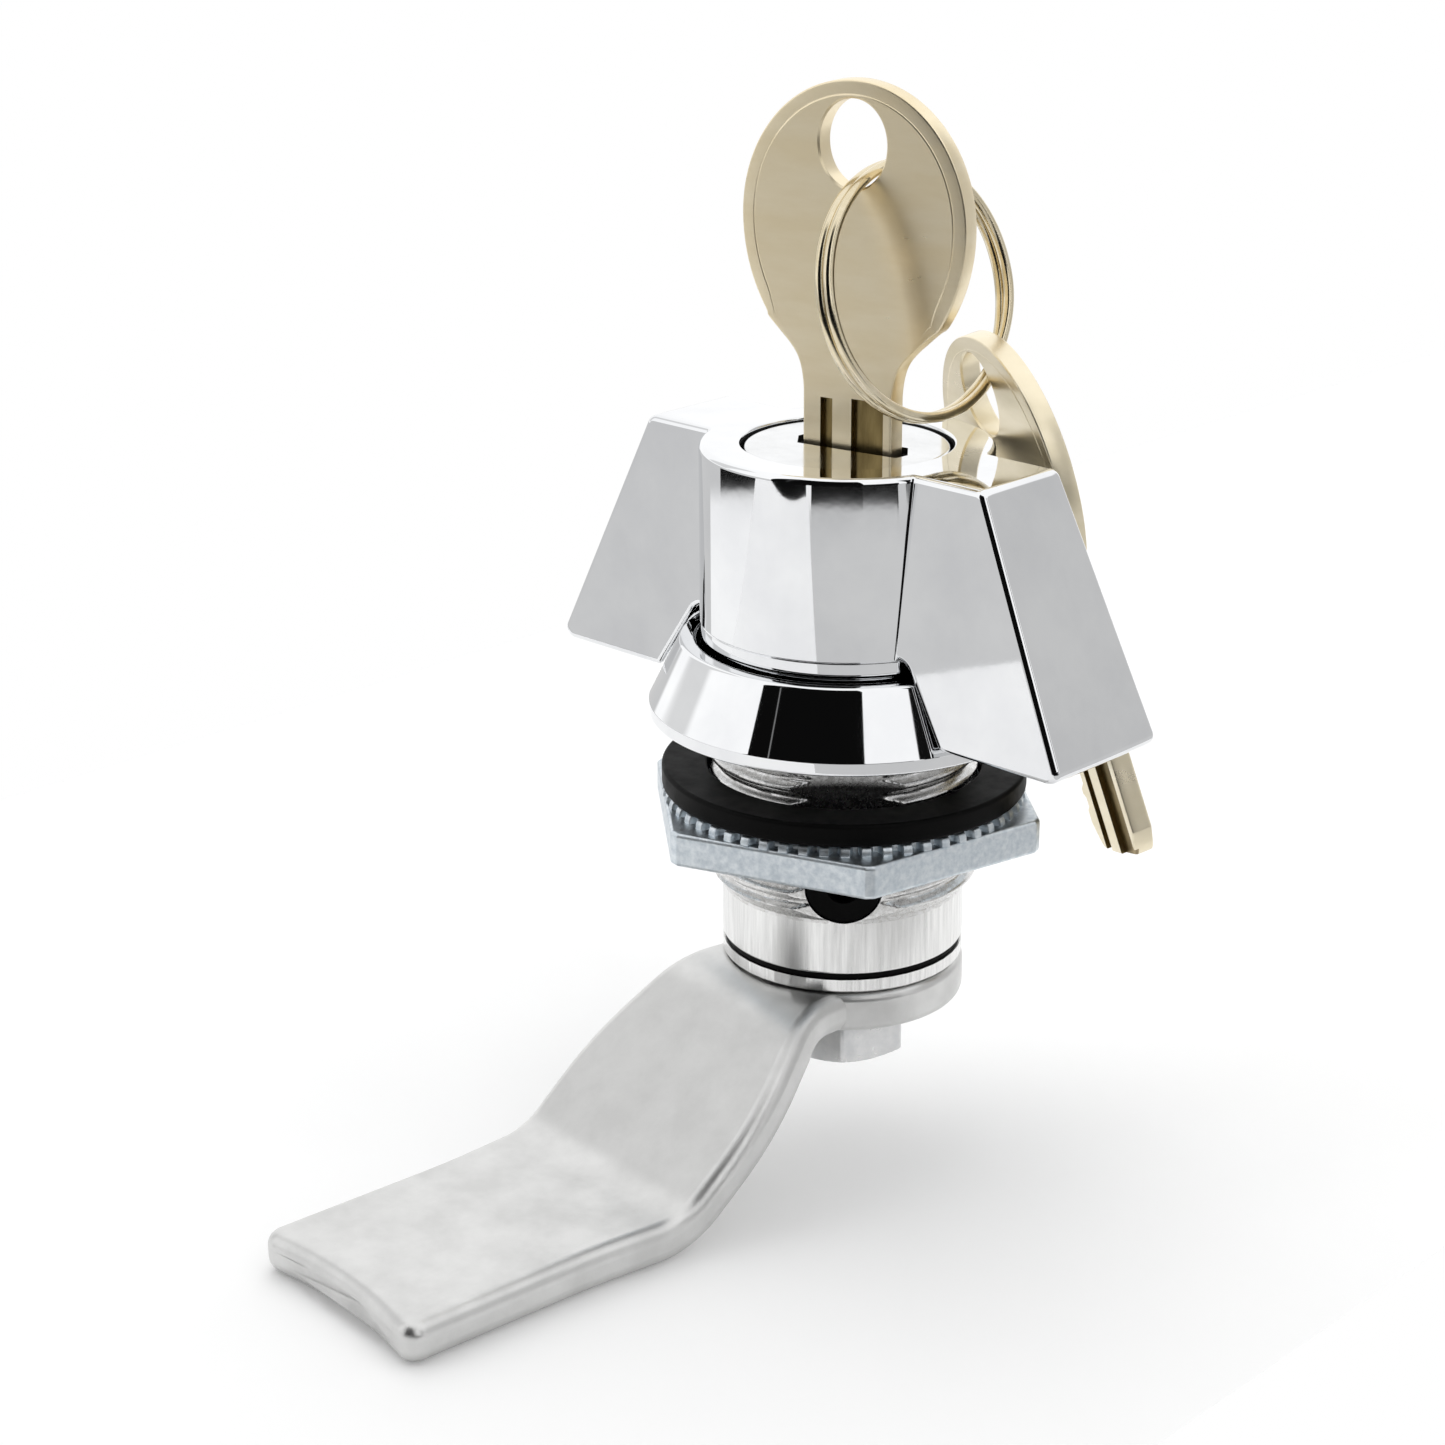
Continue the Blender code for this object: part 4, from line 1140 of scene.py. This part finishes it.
@dataclass
class KeySet:
    """Key in the lock, split ring and the spare key hanging from it."""

    azimuth: float = 10.4
    offset: float = 0.5
    ring_centre: Triple = (4.373, 3.087, 34.683)
    ring_normal: Triple = (0.964, -0.0486, 0.2612)
    ring_r: float = 9.89
    wire_r: float = 0.43
    pitch: float = 0.9
    turns: float = 1.97
    start: float = 149.0
    spare_hole: Triple = (5.893, 10.466, 25.623)
    spare_down: Triple = (0.3268, 0.0988, -0.9399)
    spare_wide: Triple = (-0.8494, 0.4668, -0.2463)

    def ring(self) -> None:
        """Split ring: a round wire carried along two touching coils.

        The centre turns about the ring's normal and steps from one coil to the other in a
        smooth ramp halfway; both ends are cut square with a small burr-free edge.
        """
        normal = Vector(self.ring_normal).normalized()
        ax = normal.cross(Vector((0.0, 0.0, 1.0))).normalized()
        ay = np.array(normal.cross(ax))
        ax, nrm = np.array(ax), np.array(normal)
        t = np.concatenate([[0.0, 0.0, 0.0006], np.linspace(0.001, 0.999, 420), [0.9994, 1.0, 1.0]])
        scale = np.ones_like(t)
        scale[[0, -1]] = 0.0
        scale[[1, -2]] = 0.86
        ang = math.radians(self.start) + TURN * self.turns * t
        rise = self.pitch * (ease((t - 0.5) / 0.09 + 0.5) - 0.5)
        out = np.cos(ang)[:, None] * ax + np.sin(ang)[:, None] * ay
        centre = np.array(self.ring_centre) + out * self.ring_r + rise[:, None] * nrm
        b = angles(28)[:, None]
        r = self.wire_r * scale[:, None, None]
        grid = centre[:, None] + r * (np.cos(b) * out[:, None] + np.sin(b) * nrm)
        wire = wear(skin("key_ring_wire", grid, wrap_rows=False), WIRE)
        dress(wire, "ring", "nickel_silver", "key_ring")

    def build(self) -> None:
        """Make both keys and the ring."""
        a = math.radians(self.azimuth)
        across = Vector((math.cos(a), math.sin(a), 0.0))
        along = Vector((0.0, 0.0, 1.0))
        stand = Matrix((across, along, across.cross(along))).transposed().to_4x4()
        stand.translation = across * self.offset
        key = Key()
        key.build("key_in_lock", stand, "key", NICKEL_SILVER, "key_1")
        down = Vector(self.spare_down).normalized()
        wide = Vector(self.spare_wide)
        wide = (wide - down * wide.dot(down)).normalized()
        hang = Matrix((-wide, -down, wide.cross(down))).transposed().to_4x4()
        hole = Vector((key.hole_x, key.hole_y, 0.0))
        hang.translation = Vector(self.spare_hole) - hang.to_3x3() @ hole
        # The spare key wears the paler copy of its metal: painted light.
        key.build("spare_key", hang, "spare_key", LIT_SILVER, "key_2")
        self.ring()


# ---------------------------------------------------------------- kept hardware


@dataclass(frozen=True)
class KeptHardware:
    """CAD nodes whose shape is right as it is, and the finish of each."""

    plated: tuple[str, ...] = ("spindle",)
    steel: tuple[str, ...] = ("spring_washer", "handle_screw", "dowel_right", "dowel_left")
    ground: tuple[str, ...] = ("stop_pin",)
    rubber: tuple[str, ...] = ("detent_bush", "hub_seal", "lower_seal")
    brass: tuple[str, ...] = ("lock_sleeve", "lock_bolt", *LockPlug.wafer_nodes)

    def build(self) -> None:
        """Give each kept node its finish."""
        for names, finish in ((self.plated, TURNED), (self.steel, STEEL), (self.ground, BALL),
                              (self.rubber, RUBBER), (self.brass, BRASS)):
            for name in names:
                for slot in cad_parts[name].material_slots:
                    slot.material = finish.build()
                LOG.info("%s keeps its CAD mesh in %s", name, finish.name)


# ---------------------------------------------------------------- studio


@dataclass(frozen=True)
class Card:
    """A patch of the studio round the latch: azimuths and elevations in degrees, and its brightness."""

    az0: float
    az1: float
    el0: float
    el1: float
    light: float
    soft: float = 0.8


@dataclass
class Studio:
    """Floor, surroundings, softbox and camera.

    The sheet's four numbers are its left, right, front and back ends in millimetres; the
    softbox and the camera are placed in metres.
    """

    white: float = 1.16
    sheet: tuple[float, ...] = (-115.0, 50.0, -215.0, 900.0)
    softbox_size: float = 0.7
    softbox_watts: float = 1.0
    softbox_place: Triple = (-0.35, 0.25, 0.75)
    lens: float = 75.27
    shift: Pair = (0.0087, 0.0015)
    eye: Triple = (0.15421, -0.17473, 0.08303)
    right: Triple = (0.71912, 0.69486, -0.00580)
    forward: Triple = (-0.65468, 0.67469, -0.34086)
    cards: tuple[Card, ...] = (
        Card(-180.0, 180.0, -90.0, -2.0, 0.66, 2.0),
        Card(18.0, 84.0, -12.0, 34.0, 0.62, 6.0),
        Card(-180.0, -79.0, -60.0, -15.6, 1.08, 0.5),
        Card(-150.0, -108.0, -14.4, 4.0, 0.68, 1.2),
        Card(-163.0, -107.0, -15.5, -14.3, 0.01, 0.12),
        Card(-107.5, -36.0, -15.8, 62.0, 0.004, 0.14),
        Card(-36.0, -9.0, -15.75, 12.0, 0.01, 0.14),
        Card(-79.5, -75.5, -15.9, -15.0, 1.0, 0.3),
        Card(-2.8, 6.5, -15.5, 44.0, 0.006, 0.6),
        Card(-95.0, -94.2, 8.0, 52.0, 0.22, 0.4),
        Card(-178.0, -152.0, 4.0, 50.0, 0.80, 6.0),
    )

    def world(self) -> None:
        """Surroundings: each card replaces the brightness inside its azimuth and elevation window.

        The azimuth is the angle of the direction's x and y, the elevation the arcsine of its
        z, and each window's edges are smooth steps.  The backdrop behind the latch is white.
        """
        world = bpy.data.worlds.new("studio")
        bpy.context.scene.world = world
        world.use_nodes = True
        tree = world.node_tree
        tree.nodes.clear()
        way = add(tree, "SeparateXYZ", {"Vector": add(tree, "TexCoord").outputs["Generated"]})
        az = add(tree, "Math", {0: way.outputs["Y"], 1: way.outputs["X"]}, operation="ARCTAN2").outputs[0]
        el = add(tree, "Math", {0: way.outputs["Z"]}, operation="ARCSINE").outputs[0]
        level = add(tree, "Value").outputs[0]
        level.default_value = self.white
        for card in self.cards:
            mask = None
            for source, edge, sign in ((az, card.az0, 1), (az, card.az1, -1), (el, card.el0, 1),
                                       (el, card.el1, -1)):
                if abs(edge) >= 90.0 and source is el or abs(edge) >= 180.0:
                    continue
                low, high = np.radians((edge - card.soft / 2.0, edge + card.soft / 2.0))
                first = 0.0 if sign > 0 else 1.0
                step = span(tree, source, low, high, first, 1.0 - first, interpolation_type="SMOOTHSTEP")
                if mask is not None:
                    step = add(tree, "Math", {0: mask, 1: step}, operation="MULTIPLY").outputs[0]
                mask = step
            level = add(tree, "Mix", {0: mask, 2: level, 3: card.light}, data_type="FLOAT").outputs[0]
        seen = add(tree, "LightPath").outputs["Is Camera Ray"]
        level = add(tree, "Mix", {0: seen, 2: level, 3: 1.0}, data_type="FLOAT").outputs[0]
        sky = add(tree, "Background", {"Strength": level, "Color": WHITE})
        add(tree, "OutputWorld", {"Surface": sky.outputs[0]})

    def floor(self) -> None:
        """Pale sheet of paper under the latch, longer behind it than in front."""
        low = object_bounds()[0][2] / MM - 0.02
        left, right, front, back = self.sheet
        plan = rounded([(left, front, 12.0), (right, front, 12.0), (right, back, 12.0), (left, back, 12.0)])
        share = np.array([0.0, 0.1, 0.3, 0.6, 1.0])[:, None, None]
        grid = np.concatenate([share * plan, np.full((5, len(plan), 1), low)], axis=2)
        floor = skin("floor", grid, wrap_rows=False)
        bm = bmesh.new()
        bm.from_mesh(floor.data)
        if sum(f.normal.z for f in bm.faces) < 0.0:
            bmesh.ops.reverse_faces(bm, faces=bm.faces)
        bm.to_mesh(floor.data)
        bm.free()
        floor.data.materials.append(PAPER.build())
        floor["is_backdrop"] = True

    def softbox(self) -> None:
        """Wide overhead light for the soft shadow under the arm."""
        data = bpy.data.lights.new("softbox", "AREA")
        data.shape = "RECTANGLE"
        data.size = self.softbox_size
        data.size_y = self.softbox_size
        data.energy = self.softbox_watts
        light = bpy.data.objects.new("softbox", data)
        light.visible_glossy = False
        light.location = self.softbox_place
        light.rotation_euler = (-Vector(self.softbox_place)).to_track_quat("-Z", "Y").to_euler()
        bpy.context.scene.collection.objects.link(light)

    def camera(self) -> None:
        """Short telephoto camera; the right-hand axis is squared to the forward one."""
        data = bpy.data.cameras.new("camera")
        data.lens = self.lens
        data.sensor_width = 36.0
        data.shift_x, data.shift_y = self.shift
        data.clip_start = 0.01
        data.clip_end = 20.0
        right = Vector(self.right)
        forward = Vector(self.forward).normalized()
        right = (right - forward * right.dot(forward)).normalized()
        up = right.cross(forward)
        turn = Matrix((right, up, -forward)).transposed().to_4x4()
        turn.translation = Vector(self.eye)
        camera = bpy.data.objects.new("camera", data)
        camera.matrix_world = turn
        bpy.context.scene.collection.objects.link(camera)
        bpy.context.scene.camera = camera

    def build(self) -> None:
        """Set the stage."""
        self.world()
        self.floor()
        self.softbox()
        self.camera()
        bpy.context.scene.view_settings.view_transform = "Standard"


def main() -> None:
    """Build every piece and set the stage."""
    logging.basicConfig(level=logging.INFO, format="%(message)s")
    for assembly in (Housing(), PanelHardware(), WingHandle(), CamAssembly(), LockPlug(), KeySet(),
                     KeptHardware()):
        assembly.build()
    Studio().build()


if __name__ == "__main__":
    main()
